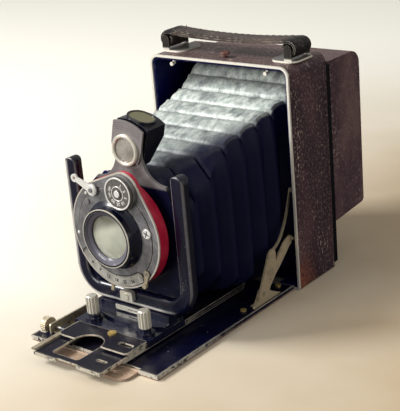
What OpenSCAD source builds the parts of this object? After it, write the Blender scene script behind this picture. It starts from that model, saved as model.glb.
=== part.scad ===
// Folding plate camera with its bed let down, its bellows drawn out and its focusing hood open.
// X is the width, -Y is forward, Z is up. The origin is the middle of the body's bottom front edge.
// Places in front of the body are written as forward distances, so a point 98 forward has y = -98.

/* [Body] */
// Width of the body over its leather
body_w = 112; // [94:1:136]
// Height of the body over its leather
body_h = 150; // [126:1:182]
// Depth of the body behind its front rim
body_d = 42; // [38:0.5:52]
// Radius of the body's two upper corners
body_top_r = 6.5; // [3:0.5:9]
// Radius of the body's two lower corners
body_low_r = 2; // [1:0.5:4]
// Thickness of the body's metal wall
wall = 2.2; // [1.6:0.1:3]
// Thickness of the leather
leather_t = 0.8; // [0.5:0.1:1.2]
// Width of the bright front rim
rim_w = 1.5; // [1:0.1:2.4]
// Width of the plate window in the back
window_w = 86; // [60:1:88]
// Lower edge of the plate window
window_z0 = 36; // [30:1:50]
// Space between the plate window and the top of the body
window_drop = 11; // [8:1:24]

/* [Focusing back] */
// Thickness of the sliding back panel
back_t = 2.4; // [2:0.1:4]
// Depth of the hood behind the back panel
hood_d = 41; // [24:1:50]
// Thickness of the hood's walls
hood_t = 1.4; // [1:0.1:2.4]
// Radius of the hood's upper rear edge
hood_r = 10; // [4:0.5:14]
// Thickness of the ground glass
glass_t = 1.4; // [1:0.1:1.8]

/* [Bed] */
// Length by which the bed is shorter than the body is high
bed_short = 10; // [6:1:16]
// Height of the bed's upper face
bed_top = 3; // [2.4:0.1:3.4]
// Length of each front flange of the bed
flange_l = 15; // [8:0.5:20]
// Width of the fold-out foot
foot_w = 74; // [50:1:74]
// Length of the fold-out foot
foot_l = 13; // [8:0.5:15]

/* [Track] */
// Width of the sliding track
track_w = 54; // [48:0.5:60]
// Length of the sliding track
track_l = 138; // [120:1:150]
// Height of the track's upper face
track_top = 8; // [7.4:0.1:9]
// Thickness of the track's sheet
track_t = 1; // [0.8:0.1:1.2]
// Distance by which the track stands out past the bed
track_out = 21; // [0:1:25]
// Width of the track's front slot
slot_w = 21.5; // [12:0.5:24]

/* [Rack and pinion] */
// Tooth module of the rack and the pinion
gear_m = 0.4; // [0.36:0.01:0.44]
// Number of teeth on the pinion
pinion_teeth = 10; // [9:1:11]
// Pressure angle of the teeth
gear_angle = 30; // [25:1:30]
// Side play between the teeth
backlash = 0.12; // [0.08:0.01:0.2]
// Width of the rack and the pinion
gear_w = 3; // [2:0.1:4]
// Radius of the pinion shaft
shaft_r = 1.1; // [0.8:0.05:1.2]
// Radius of the focusing knob
knob_r = 5.2; // [4:0.1:5.4]
// Width of the focusing knob
knob_w = 4.2; // [3:0.1:5]
// Number of ridges round the focusing knob
knob_ridges = 28; // [16:1:36]

/* [Standard] */
// Distance of the front frame's face in front of the body
stand_off = 98; // [90:1:106]
// Outer width of the front frame
frame_w = 96; // [84:1:100]
// Width of one arm of the front frame
arm_w = 11; // [8:0.5:13]
// Thickness of the front frame
frame_t = 7; // [6:0.5:8]
// Height of the top of the front frame
frame_top = 108.5; // [100:0.5:116]
// Height of the underside of the front frame
frame_low = 17; // [16:0.5:18]
// Outer radius of the front frame's lower corners
frame_r = 21; // [16:1:30]
// Thickness of the lens board
board_t = 2; // [1.6:0.1:2.4]
// Distance between the two grips
grip_gap = 43; // [36:0.5:46]
// Radius of a grip
grip_r = 3.9; // [3.5:0.1:5]
// Height of a grip
grip_h = 11.5; // [10:0.5:16]
// Number of flutes round a grip
grip_flutes = 12; // [8:1:16]

/* [Shutter and lens] */
// Height of the lens axis above the ground
lens_z = 69.4; // [64:0.2:74]
// Radius of the shutter drum
drum_r = 34.7; // [30:0.1:35.5]
// Depth of the shutter drum
drum_d = 7.4; // [6:0.1:9]
// Radius of the speed dial
dial_r = 10; // [8:0.1:11]
// Distance of the speed dial's centre from the lens axis
dial_off = 30.6; // [28:0.1:31.5]
// Turn of the shutter in the lens board, in degrees
shutter_turn = 19.5; // [0:0.5:30]
// Radius of the lens barrel's front ring
barrel_r = 18.4; // [16:0.1:20]
// Distance that the lens barrel stands in front of the shutter
barrel_l = 8.7; // [7:0.1:12]
// Number of leaves in the iris
iris_leaves = 10; // [6:1:12]

/* [Finder] */
// Sideways distance of the finder axis from the lens axis
finder_x = 5.5; // [0:0.5:6]
// Height of the finder axis above the lens axis
finder_up = 50.2; // [48:0.1:54]
// Width of the finder box
finder_w = 23; // [18:0.2:24]
// Depth of the finder box
finder_d = 16.5; // [14:0.5:24]
// Lean of the finder at rest, in degrees
finder_lean = 14; // [0:1:20]

/* [Bellows] */
// Number of pleats in front of the drawn-out joint
front_pleats = 9; // [6:1:12]
// Number of pleats inside the body
rear_pleats = 3; // [3:1:4]
// Depth of a pleat
pleat_d = 6; // [3:0.5:8]
// Thickness of the bellows leather
pleat_t = 0.9; // [0.6:0.1:1.2]
// Distance of the bellows' middle ring behind the front rim
middle_y = 13; // [12:0.5:14]
// Length of a bellows corner at the rear
corner_rear = 15; // [8:0.5:20]
// Length of a bellows corner at the front
corner_front = 17; // [6:0.5:18]

/* [Handle] */
// Width of the handle strap
strap_w = 18; // [12:1:22]
// Thickness of the handle strap
strap_t = 2.2; // [1.6:0.1:2.6]
// Outer radius of the strap's end loops
loop_r = 5.8; // [4.6:0.1:7]
// Sag of the strap between its loops
strap_sag = 2.4; // [1:0.1:3.4]

/* [Struts] */
// Thickness of a strut
strut_t = 1.2; // [0.8:0.1:1.6]

/* [Fits] */
// Gap between faces that slide past each other
slide_gap = 0.4; // [0.3:0.05:0.5]
// Radial clearance of a turning pin
pin_gap = 0.06; // [0.03:0.01:0.1]
// Gap between faces that stand apart
rest_gap = 0.3; // [0.2:0.05:0.4]
// Radius of the tripod thread's core
tripod_r = 3.97; // [3:0.01:4.2]

/* [Hidden] */
$fn = 64;
CUT = 1;                                        // Overrun of a cutting shape past the face that it cuts
MEET = 0.03;                                    // Depth at which a straight edge meets a round one

body_hw = body_w / 2;
in_hw = body_hw - leather_t - wall;             // Inner half width of the body
floor_z = leather_t + wall;                     // Height of the body's inner floor
roof_z = body_h - leather_t - wall;             // Height of the body's inner roof
rim_d = 0.7;                                    // Half the thickness of the front rim
window_z1 = body_h - window_drop;

button_x = 1;                                   // Release button
button_y = 9;
button_r = 3.2;
button_stem_r = 1.5;
button_travel = 1.5;
latch_z = roof_z - 1.2;                         // Lower end of the release button's stem
rail_y0 = 6;                                     // Front end of the rails inside the body

rail_w = 4;                                     // Rails that hold the sliding back
rail_t = 1.2;
back_hw = body_hw - rail_t - rest_gap - 0.5;
back_y0 = body_d + rest_gap;
back_y1 = back_y0 + back_t;
hood_hw = body_hw - 2;
hood_neck_hw = body_hw - rail_w - rest_gap;     // Half width of the hood between the back's rails
hood_z0 = window_z0 - 5;
hood_z1 = window_z1 + 3.6;
hood_rise = 3;                                  // Rise of the hood's lower wall towards its rear
hood_low_r = 3;
hood_y0 = back_y1;
hood_neck_y = back_y1 + 2 * rest_gap + rail_t;
hood_y1 = hood_y0 + hood_d;
lid_t = 1.8;
lid_hinge_r = 1.5;
lid_side = 5;                                   // Margin of the lid inside the hood's outline
lid_hinge_z = hood_z1 - hood_r - 1;
lid_low = hood_z0 + hood_rise + lid_side;

bed_hw = in_hw - 1;
bed_l = body_h - bed_short;
bed_rear = 1.4;                                 // Gap between the bed and the front plane
lip_w = 0.9;
lip_h = 0.5;
hinge_r = 1.3;
hinge_pin_r = 0.6;
leaf_h = 0.8;                                   // Thickness of the hinge's leaves
hinge_hw = bed_hw - 12;
hinge_z = bed_top + hinge_r;
foot_hinge_r = 0.9;
foot_low = 0.4;
foot_t = 1.4;
foot_swing = leather_t + foot_hinge_r - foot_low; // Reach of the foot behind its own hinge
foot_r = 6;

track_hw = track_w / 2;
track_f1 = bed_l + track_out;                   // Forward end of the track
track_f0 = track_f1 - track_l;
guide_x = track_hw - 5.5;
guide_top = track_top - track_t - slide_gap;
flange_low = 4.2;
flange_lip = 0.9;
skirt_z = 6;                                    // Lower edge of the track's bright side skirt
slot_x = -6.2;                                  // Middle of the front slot, and of the stop plate's notch
stop_notch_x = -3;
notch_w = 17;

pinion_r = gear_m * pinion_teeth / 2;
gear_pitch = PI * gear_m;
addendum = 0.8 * gear_m;
dedendum = 1.1 * gear_m;
pinion_f = bed_l - 13;                          // Forward place of the pinion shaft
pinion_z = track_top - 0.4 - pinion_r;
pinion_gap = 0.15;                              // Room between the pinion's tips and the bed
rack_line = pinion_z + pinion_r;                // Height of the rack's pitch line
rack_top = rack_line + 1.6;
rack_teeth = 36;
rack_lead = 4.5;                                // Distance that the toothed length leads the pinion
rack_x0 = -track_hw - gear_w - 0.4;
rack_x1 = -track_hw;
bracket_x1 = rack_x0 - 2.4;
bracket_w = 3;
scale_x = -bed_hw + 8.6;                        // Left face of the distance scale's upright
scale_t = 1.2;
scale_f0 = pinion_f - 36;
scale_f1 = pinion_f + 5;
scale_top = 9.2;
knob_x0 = -bed_hw + 0.2;
knob_notch = 0.6;

base_low = track_top + rest_gap;                // Sliding base of the standard
base_z1 = rack_top + rest_gap;
base_z2 = base_z1 + 1;
foot_z = base_z2 + 1.8;
seat_z = foot_z + 2.6;                          // Top of the low seat below each grip
base_f0 = stand_off - 12;
base_f1 = stand_off + 21.8;
stop_f0 = base_f1 + slide_gap;                   // Stop plate in front of the standard
stop_f1 = stand_off + 41;
base_hw = track_hw - 3;
arc_f = stand_off + 12.5;
grip_f = stand_off + 15.5;
grip_x = grip_gap / 2;
grip_stem_r = 1.9;
grip_travel = 1.5;
block_hw = frame_w / 2 - frame_r + 1;

frame_hw = frame_w / 2;
frame_in = frame_hw - arm_w;                    // Half the gap between the arms
frame_in_low = frame_low + arm_w;
frame_bar_r = 3.2;                              // Rounding of the front frame's bar
frame_f0 = stand_off - frame_t;
board_f1 = stand_off - 2.4;
board_f0 = board_f1 - board_t;
board_hw = frame_in + 1.8;
board_low = frame_in_low + 1.2;
board_top = frame_top - 8.5;
neck_hw = 10;                                   // Neck of the lens board and its hollow curves
neck_r = 17;
board_shoulder = 16;                            // Slope of the lens board's upper corners
groove_x = frame_in + 2.2;
holder_f0 = frame_f0 - 1.4;                     // Frame that holds the front of the bellows
holder_hw = frame_in + 0.5;
holder_low = frame_low + 2;
holder_top = frame_top - 7.5;
holder_side = 8;
holder_slope = 17;                              // Slope of the holder's upper corners
holder_low_r = 14;

clamp_z = frame_low + 7.7;
clamp_x = -3.8;
clamp_hw = 5;
clamp_hh = 3.4;

drum_f0 = board_f1 + 4.2;
drum_f1 = drum_f0 + drum_d;
face_t = 0.8;
face_f = drum_f1 + face_t;
face_rim = 0.9;
bulge_r = dial_r + 1.7;
bulge_t = 2.4;                                  // Depth of the drum's lobe round the speed dial
mount_r = 25;
tube_r = 20;
inner_disc_r = drum_r - 5.7;
inner_disc_t = 0.4;
disc_f = face_f + inner_disc_t;
dial_x = dial_off * sin(shutter_turn);
dial_z = lens_z + dial_off * cos(shutter_turn);
collar_f = face_f + 2.6;
dial_f0 = collar_f + rest_gap;
dial_f1 = dial_f0 + 2;
barrel_back_r = 21.6;                           // Rear of the barrel, and where it steps down
barrel_step_f = disc_f + 0.9;
ring_f = face_f + barrel_l;
glass_r = 14.2;
aperture_r0 = mount_r + pin_gap;
aperture_r1 = aperture_r0 + 2;
aperture_f0 = board_f1 + 1;
aperture_f1 = aperture_f0 + 0.9;
aperture_at = 258;                              // Bearing of the pointer, from +X towards +Z
hook_r = drum_r + 0.7;                          // Inner face of the pointer's hook beside the drum
hook_t = 1.3;
hook_w = 2.2;
aperture_tip = hook_r + 4;
scale_r0 = barrel_back_r + 4.8;
scale_r1 = drum_r - 1.7;
scale_a0 = 214;
scale_a1 = 304;
cock_at = 115.7;                                // Bearing of the cocking lever's pivot
cock_r = drum_r - 4.8;
cock_x = cock_r * cos(cock_at);
cock_z = lens_z + cock_r * sin(cock_at);
cock_f0 = disc_f + 1.4;
cock_l = 14.6;
cock_turn = 157.5;
release_at = -42.3974;                          // Bearing and reach of the release lever's pivot
release_r = drum_r - 3.5552;
release_x = release_r * cos(release_at);
release_z = lens_z + release_r * sin(release_at);
release_l = 8;
release_turn = 257;
emblem_x = drum_r - 8.7;
emblem_z = lens_z + 5;
mode_x = -(drum_r - 15.2);
mode_z = lens_z + drum_r - 16.3;

finder_cx = finder_x;
finder_z = lens_z + finder_up;
finder_f1 = board_f0 - rest_gap;
finder_f0 = finder_f1 - finder_d;
finder_top_h = 17.8;                            // Height of the finder's domed top above its axis
finder_dome = 2.4;
finder_low_h = 11.4;
finder_tube_r = 8.2;
finder_ring_r = 9.8;
finder_plate_f = board_f1 + rest_gap + 1.2;     // Face of the finder's front plate
finder_ring_f = finder_plate_f + 1.8;
finder_wall = 1;
window_l = 5;                                   // Oval top window: its straight length and its end radius
window_r = 6;

bellows_f1 = holder_f0 - rest_gap;
rear_y = body_d - wall - 1.8;                   // Front face of the bellows' rear frame
bellows_y1 = rear_y - rest_gap;
rear_hw = in_hw - 4;
rear_z0 = floor_z + 7;
rear_z1 = roof_z - 7;
front_hw = holder_hw - 1.5;
front_z0 = holder_low + 2;
front_z1 = holder_top - 1.5;

lug_x = body_hw - 6.5;
strap_y = 20;
lug_t = 1.2;
loop_z = body_h + lug_t + 1.2 + loop_r;
lug_pin_r = 1.9;
lug_reach = 14;                                 // Reach of a lug's plate towards the middle of the body

strut_x0 = bed_hw - 2.2;
strut_foot_f = 33;                              // Forward place of the strut's foot pin
strut_foot_z = bed_top + 7.6;
strut_pin_r = 1.2;
wall_pin_y = 0.4;
wall_pin_z = 36.4;
bracket_t = 1.2;
bracket_foot_w = 4.4;

bush_f = bed_l / 2;
bush_r = 6.6;
bush_flange_r = 9;
bush_h = guide_top - rest_gap;
side_bush_y = body_d / 2;
side_bush_z = body_h / 2;
side_bush_l = 6.2;

// Basic shapes

module block(x0, x1, y0, y1, z0, z1) {
    translate([x0, y0, z0]) cube([x1 - x0, y1 - y0, z1 - z0]);
}

// Draws its children's X and Z outline, between two places on Y
module across(y0, y1) {
    translate([0, y1, 0]) rotate([90, 0, 0]) linear_extrude(height = y1 - y0) children();
}

// Draws its children's X and Z outline, between two forward distances
module forward(f0, f1) {
    across(-f1, -f0) children();
}

// Draws its children's Y and Z outline, between two places on X
module sideways(x0, x1) {
    translate([x0, 0, 0]) rotate([90, 0, 90]) linear_extrude(height = x1 - x0) children();
}

// Draws its children's X and Y outline, between two heights
module upward(z0, z1) {
    translate([0, 0, z0]) linear_extrude(height = z1 - z0) children();
}

module rod_y(r, y0, y1) {
    translate([0, y1, 0]) rotate([90, 0, 0]) cylinder(r = r, h = y1 - y0);
}

module rod_x(r, x0, x1) {
    translate([x0, 0, 0]) rotate([0, 90, 0]) cylinder(r = r, h = x1 - x0);
}

module both_sides() {
    children();
    mirror([1, 0, 0]) children();
}

// A rectangle with one radius for its upper corners and one for its lower corners
module plate_shape(x0, x1, z0, z1, top_r, low_r) {
    polygon([[x0, z0 + low_r], [x0 + low_r, z0], [x1 - low_r, z0], [x1, z0 + low_r],
        [x1, z1 - top_r], [x1 - top_r, z1], [x0 + top_r, z1], [x0, z1 - top_r]]);
    for (x = [x0 + low_r, x1 - low_r]) translate([x, z0 + low_r]) circle(low_r);
    for (x = [x0 + top_r, x1 - top_r]) translate([x, z1 - top_r]) circle(top_r);
}

module slot_shape(length, r) {
    translate([-length / 2, -r]) square([length, 2 * r]);
    for (x = [-length / 2, length / 2]) translate([x, 0]) circle(r);
}

// A flat bar with round ends from one point to another
module bar_shape(from, to, r_from, r_to) {
    run = to - from;
    bearing = atan2(run[1], run[0]);
    length = norm(run);
    lean = asin((r_from - r_to) / length);
    translate(from) rotate(bearing) {
        circle(r_from);
        translate([length, 0]) circle(r_to);
        polygon([for (s = [-1, 1]) for (e = s < 0 ? [0, 1] : [1, 0])
            let (r = (e == 0 ? r_from : r_to) - MEET) [e * length + r * sin(lean), s * r * cos(lean)]]);
    }
}

// A turned part round an axis that runs forward, its outline given as radius and forward distance
module turned(x, z, outline) {
    translate([x, 0, z]) rotate([90, 0, 0]) rotate_extrude() polygon(outline);
}

module disc(x, z, r, f0, f1) {
    translate([x, 0, z]) rod_y(r, -f1, -f0);
}

// Body

module body_outline(inset) {
    plate_shape(-body_hw + inset, body_hw - inset, inset, body_h - inset,
        max(body_top_r - inset, 0.5), max(body_low_r - inset, 0.5));
}

module window_outline(grow) {
    translate([-window_w / 2 - grow, window_z0 - grow])
        square([window_w + 2 * grow, window_z1 - window_z0 + 2 * grow]);
}

module button_hole(r) {
    translate([button_x, button_y, roof_z - CUT]) cylinder(r = r, h = body_h - roof_z + 2 * CUT);
}

module side_bush_hole(r) {
    translate([0, side_bush_y, side_bush_z]) rod_x(r, -body_hw - CUT, -in_hw + CUT);
}

module body_shell() {
    color("#141316") difference() {
        union() {
            across(rim_d, body_d) difference() {
                body_outline(leather_t);
                body_outline(leather_t + wall);
            }
            across(body_d - wall, body_d) difference() {
                body_outline(leather_t);
                window_outline(0);
            }
        }
        button_hole(button_stem_r + pin_gap);
        side_bush_hole(bush_r);
    }
}

module body_covering() {
    color("#3a2426") difference() {
        across(rim_d, body_d) difference() {
            body_outline(0);
            body_outline(leather_t);
        }
        button_hole(button_stem_r + pin_gap);
        side_bush_hole(bush_flange_r + pin_gap);
    }
}

module front_rim() {
    color("#cfc9bb") across(-rim_d, rim_d) difference() {
        body_outline(0);
        body_outline(rim_w);
    }
}

module bellows_rear_frame() {
    color("#1c1b1e") across(rear_y, body_d - wall) difference() {
        plate_shape(-rear_hw - 1, rear_hw + 1, rear_z0 - 1, rear_z1 + 1, 3, 2);
        window_outline(0);
    }
}

// Rails that carry on the line of the bed's guides inside the body
module floor_rails() {
    color("#2a2a2c") both_sides()
        block(track_hw - 3, track_hw, rail_y0, body_d - wall - 6, floor_z, track_top);
}

module rim_studs() {
    color("#d8d4cc") both_sides() translate([38, 0, roof_z - 2.6]) {
        rod_y(1.3, 0.4, 2);
        rod_y(0.7, 2, 4.2);
        block(-0.7, 0.7, 2.6, 4.2, 0, 2.6);
    }
}

module release_button() {
    color("#6b3a32") {
        translate([button_x, button_y, body_h + button_travel + rest_gap]) {
            cylinder(r = button_r, h = 1.4);
            translate([0, 0, 1.4]) cylinder(r1 = button_r, r2 = button_r - 1, h = 0.8, $fn = 64);
        }
        translate([button_x, button_y, latch_z]) {
            cylinder(r = button_stem_r, h = body_h + button_travel + rest_gap - latch_z);
            cylinder(r = button_stem_r + 1.2, h = 0.8);
        }
    }
}

// Handle

module strap_outline() {
    sag_r = (pow(lug_x, 2) + pow(strap_sag, 2)) / (2 * strap_sag);
    top = loop_z + loop_r - strap_t;
    difference() {
        intersection() {
            translate([0, top - strap_sag + sag_r]) difference() {
                circle(sag_r, $fn = 256);
                circle(sag_r - strap_t, $fn = 256);
            }
            translate([-lug_x, top - strap_sag - strap_t]) square([2 * lug_x, 3 * strap_t]);
        }
        for (s = [-1, 1]) translate([s * lug_x, loop_z]) circle(loop_r - 0.05);
    }
    for (s = [-1, 1]) translate([s * lug_x, loop_z]) difference() {
        circle(loop_r);
        circle(loop_r - strap_t);
    }
}

module handle_strap() {
    color("#4a3028") across(strap_y - strap_w / 2, strap_y + strap_w / 2) strap_outline();
}

module handle_lug() {
    span = strap_w / 2 + rest_gap;
    translate([lug_x, strap_y, 0]) {
        upward(body_h, body_h + lug_t)
            plate_shape(-lug_reach, 5.5, -span - lug_t - 0.6, span + lug_t + 0.6, 3, 6);
        for (s = [-1, 1]) translate([0, s * (span + lug_t / 2), 0]) across(-lug_t / 2, lug_t / 2) {
            translate([-2.8, body_h + 0.2]) square([5.6, loop_z - body_h - 0.2]);
            translate([0, loop_z]) circle(2.8);
        }
        translate([0, 0, loop_z]) rod_y(lug_pin_r, -span - lug_t / 2, span + lug_t / 2);
    }
}

module handle_lugs() {
    color("#b9b2a4") both_sides() handle_lug();
}

// Focusing back

module back_rails() {
    color("#2b2224") both_sides() {
        block(back_hw + rest_gap, body_hw, body_d, back_y1 + rest_gap, 4, body_h - body_top_r - 2);
        block(body_hw - rail_w, body_hw, back_y1 + rest_gap, back_y1 + rest_gap + rail_t, 4,
            body_h - body_top_r - 2);
        block(back_hw - 8, back_hw + rest_gap, body_d, back_y1 + rest_gap, 4, 4 + rail_t);
    }
}

module focusing_back() {
    color("#222124") difference() {
        across(back_y0, back_y1) plate_shape(-back_hw, back_hw, 4 + rail_t + rest_gap, body_h - 3, 5, 1);
        across(back_y0 - CUT, back_y1 + CUT) window_outline(-2);
        across(back_y0 - CUT, back_y0 + glass_t) window_outline(1);
    }
}

module ground_glass() {
    color([0.8, 0.86, 0.86, 0.6]) across(back_y0, back_y0 + glass_t) window_outline(0.9);
}

// Side outline of the hood, in Y and Z
module hood_outline(inset, rear) {
    y1 = hood_y1 - rear;
    z0 = hood_z0 + inset;
    z0_rear = z0 + hood_rise;
    z1 = hood_z1 - inset;
    r = hood_r - inset;
    low = hood_low_r - inset;
    polygon([[hood_y0, z0], [y1 - low, z0_rear], [y1, z0_rear + low], [y1, z1 - r], [y1 - r, z1],
        [hood_y0, z1]]);
    translate([y1 - r, z1 - r]) circle(r);
    translate([y1 - low, z0_rear + low]) circle(low);
}

module hood_walls() {
    color("#33211f") difference() {
        sideways(-hood_hw, hood_hw) hood_outline(0, 0);
        both_sides() block(hood_neck_hw, hood_hw + CUT, hood_y0 - CUT, hood_neck_y, hood_z0 - CUT,
            hood_z1 + CUT);
        sideways(-hood_neck_hw + hood_t, hood_neck_hw - hood_t) hood_outline(hood_t, hood_t);
        intersection() {
            sideways(-hood_hw + hood_t, hood_hw - hood_t) hood_outline(hood_t, hood_t);
            block(-hood_hw, hood_hw, hood_neck_y + hood_t, hood_y1, hood_z0, hood_z1);
        }
        across(hood_y0 - CUT, hood_y0 + CUT)
            translate([-hood_neck_hw + hood_t, hood_z0 + hood_t])
                square([2 * (hood_neck_hw - hood_t), hood_z1 - hood_z0 - 2 * hood_t]);
        across(hood_y1 - hood_t - CUT, hood_y1 + CUT)
            translate([-hood_hw + lid_side + 2, lid_low + 2])
                square([2 * (hood_hw - lid_side - 2), lid_hinge_z - lid_low - 6]);
        translate([0, hood_y1 + lid_hinge_r, lid_hinge_z])
            rod_x(lid_hinge_r + rest_gap, -hood_hw - CUT, hood_hw + CUT);
    }
}

module hood_lid() {
    color("#2d1c1b") {
        across(hood_y1 + rest_gap, hood_y1 + rest_gap + lid_t)
            plate_shape(-hood_hw + lid_side, hood_hw - lid_side, lid_low, lid_hinge_z, 1, 4);
        translate([0, hood_y1 + lid_hinge_r, lid_hinge_z])
            rod_x(lid_hinge_r, -hood_hw + lid_side, hood_hw - lid_side);
        translate([0, hood_y1 + rest_gap + lid_t, lid_low + 7]) rod_y(3, 0, 1.2);
    }
}

// Bed

module knob_cut(z0, z1) {
    block(-bed_hw - CUT, knob_x0 + knob_w + knob_notch, -pinion_f - knob_r - knob_notch,
        -pinion_f + knob_r + knob_notch, z0, z1);
}

module foot_cut(z1) {
    half = foot_w / 2 + rest_gap;
    block(-half, half, -bed_l - CUT, -bed_l + foot_hinge_r + foot_swing + rest_gap, -CUT, z1);
}

module bed() {
    color("#17161a") difference() {
        union() {
            block(-bed_hw, bed_hw, -bed_l, -bed_rear, leather_t, bed_top);
            both_sides() {
                block(bed_hw - lip_w, bed_hw, -bed_l, -bed_rear, bed_top, bed_top + lip_h);
                block(bed_hw - flange_l, bed_hw, -bed_l, -bed_l + lip_w, bed_top, bed_top + lip_h);
            }
        }
        knob_cut(-CUT, bed_top + CUT);
        // Room under the pinion's teeth, where a larger pinion reaches into the sheet
        translate([0, -pinion_f, pinion_z]) rod_x(tip_r + pinion_gap, rack_x0 - pinion_gap, rack_x1);
        translate([0, -bush_f, -CUT]) cylinder(r = bush_r, h = bed_top + 2 * CUT);
        foot_cut(bed_top + CUT);
    }
}

module bed_covering() {
    color("#44302c") difference() {
        block(-bed_hw + 0.4, bed_hw - 0.4, -bed_l + 0.4, -bed_rear - 0.4, 0, leather_t);
        knob_cut(-CUT, leather_t + CUT);
        translate([0, -bush_f, -CUT]) cylinder(r = bush_flange_r + rest_gap, h = leather_t + 2 * CUT);
        foot_cut(leather_t + CUT);
    }
}

KNUCKLES = 7;
knuckle_l = 2 * hinge_hw / KNUCKLES;

// Every other knuckle of the hinge, from the first or the second, with its tab of the leaf
module knuckle_run(odd, y0, y1, z) {
    for (i = [odd:2:KNUCKLES - 1]) {
        x0 = -hinge_hw + i * knuckle_l + 0.1;
        x1 = x0 + knuckle_l - 0.2;
        translate([0, 0, hinge_z]) rod_x(hinge_r, x0, x1);
        block(x0, x1, y0, y1, z, z + leaf_h);
    }
}

// Both leaves of the bed hinge, with the pin through their knuckles
module bed_hinge() {
    color("#8d8678") {
        block(-hinge_hw, hinge_hw, hinge_r + 0.4, 5, floor_z, floor_z + leaf_h);
        knuckle_run(0, 0, 5, floor_z);
        translate([0, 0, hinge_z]) rod_x(hinge_pin_r, -hinge_hw, hinge_hw);
        bed_leaf();
    }
}

module bed_leaf() {
    difference() {
        union() {
            block(-hinge_hw, hinge_hw, -5, -hinge_r - 0.4, bed_top, bed_top + leaf_h);
            knuckle_run(1, -5, 0, bed_top);
        }
        translate([0, 0, hinge_z]) rod_x(hinge_pin_r + pin_gap, -hinge_hw - CUT, hinge_hw + CUT);
    }
}

module bed_foot() {
    hinge_f = bed_l - foot_hinge_r;
    color("#5b3128") {
        translate([0, -hinge_f, leather_t + foot_hinge_r]) rod_x(foot_hinge_r, -foot_w / 2, foot_w / 2);
        upward(foot_low, foot_low + foot_t) translate([0, -hinge_f - foot_l])
            plate_shape(-foot_w / 2, foot_w / 2, 0, foot_l, 0.5, foot_r);
    }
}

module bed_strip() {
    color("#9a968c") upward(bed_top, bed_top + 0.6) translate([0, -bed_l + 22])
        plate_shape(slot_x - slot_w / 2 - 3, slot_x + slot_w / 2 + 3, -19, 22, 2, 2);
}

module bed_screw() {
    difference() {
        cylinder(r = 2, h = 0.9);
        translate([-2.5, -0.25, 0.4]) cube([5, 0.5, 1]);
    }
}

module bed_screws() {
    color("#a98f4e") both_sides() {
        translate([bed_hw - 7.6, -47, bed_top]) rotate(30) bed_screw();
        translate([bed_hw - 9.5, -6, bed_top]) rotate(70) bed_screw();
    }
}

// A tripod bush: a flange let into the leather and a boss with a plain core for the thread
module bush(length) {
    difference() {
        union() {
            cylinder(r = bush_flange_r, h = leather_t - 0.1);
            cylinder(r = bush_r - pin_gap, h = length);
        }
        translate([0, 0, -CUT]) cylinder(r = tripod_r, h = length - 0.8 + CUT);
    }
}

module tripod_bushes() {
    color("#a7a294") {
        translate([0, -bush_f, 0.1]) bush(bush_h - 0.1);
        translate([-body_hw + 0.1, side_bush_y, side_bush_z]) rotate([0, 90, 0]) bush(side_bush_l);
    }
}

// Struts, drawn in Y and Z

module strut_outline() {
    difference() {
        polygon([[-39, 7.5], [-36.6, 13.5], [-32.1, 21.4], [-27.7, 30], [-25.4, 34.4], [-23, 36.2],
            [-20.4, 36.4], [-18.4, 35], [-17.6, 32.4], [-18.2, 28.4], [-17.2, 27.4], [-13.6, 31.4],
            [-8, 36.4], [-3, 38.6],
            [0.6, 38.4], [2.6, 36.6], [1.6, 34.4], [-3, 31.6], [-12.4, 23.6], [-19.5, 18.4], [-26.1, 12.2],
            [-27.4, 7.5]]);
        translate([-strut_foot_f, strut_foot_z]) circle(strut_pin_r + pin_gap);
        translate([wall_pin_y, wall_pin_z]) circle(strut_pin_r + 4 * pin_gap);
    }
}

module strut() {
    sideways(strut_x0, strut_x0 + strut_t) strut_outline();
}

module strut_right() {
    color("#9c8f6e") strut();
}

module strut_left() {
    color("#9c8f6e") mirror([1, 0, 0]) strut();
}

// A triangular bracket that stands on the bed inside each strut
module strut_brackets() {
    bracket_x = strut_x0 - rest_gap;
    color("#a5966f") both_sides() {
        difference() {
            sideways(bracket_x - bracket_t, bracket_x) translate([-strut_foot_f, bed_top])
                polygon([[-9, 0], [20, 0], [13, 3.4], [3.4, 9.4], [0, 10.4], [-3.4, 9], [-8.6, 1.2]]);
            translate([0, -strut_foot_f, strut_foot_z])
                rod_x(strut_pin_r + pin_gap, strut_x0 - 3, strut_x0 + 1);
        }
        block(bracket_x - bracket_foot_w, bracket_x - bracket_t, -strut_foot_f - 7, -strut_foot_f + 18,
            bed_top, bed_top + 0.9);
    }
}

module strut_pins() {
    color("#c9c2b2") both_sides() {
        translate([0, -strut_foot_f, strut_foot_z]) {
            rod_x(strut_pin_r, strut_x0 - rest_gap - 1.8, strut_x0 + strut_t + 0.2);
            rod_x(2.1, strut_x0 - rest_gap - 2.4, strut_x0 - rest_gap - 1.6);
        }
        translate([0, wall_pin_y, wall_pin_z]) {
            rod_x(strut_pin_r, strut_x0 - 0.8, in_hw);
            rod_x(2.1, strut_x0 - 1.2, strut_x0 - rest_gap);
        }
    }
}

// A thin sprung strip that runs from each strut up inside the body's side wall
function spring_line(t) = [-22 + 26.6 * pow(t, 0.7), 34.6 + 34.6 * pow(t, 1.7)];

module strut_springs() {
    steps = 12;
    half = 1.1;
    points = [for (i = [0:steps]) spring_line(i / steps)];
    edge = function(i, s) let (
        a = points[max(i - 1, 0)],
        b = points[min(i + 1, steps)],
        run = (b - a) / norm(b - a)
    ) points[i] + s * half * [-run[1], run[0]];
    color("#b7b1a2") both_sides() {
        sideways(strut_x0 - 1.1, strut_x0 - rest_gap)
            polygon(concat([for (i = [0:steps]) edge(i, 1)], [for (i = [steps:-1:0]) edge(i, -1)]));
        block(strut_x0 - 1.1, in_hw, 3.6, 5.6, 67, 69.6);
    }
}

// Track and its guides

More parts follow.
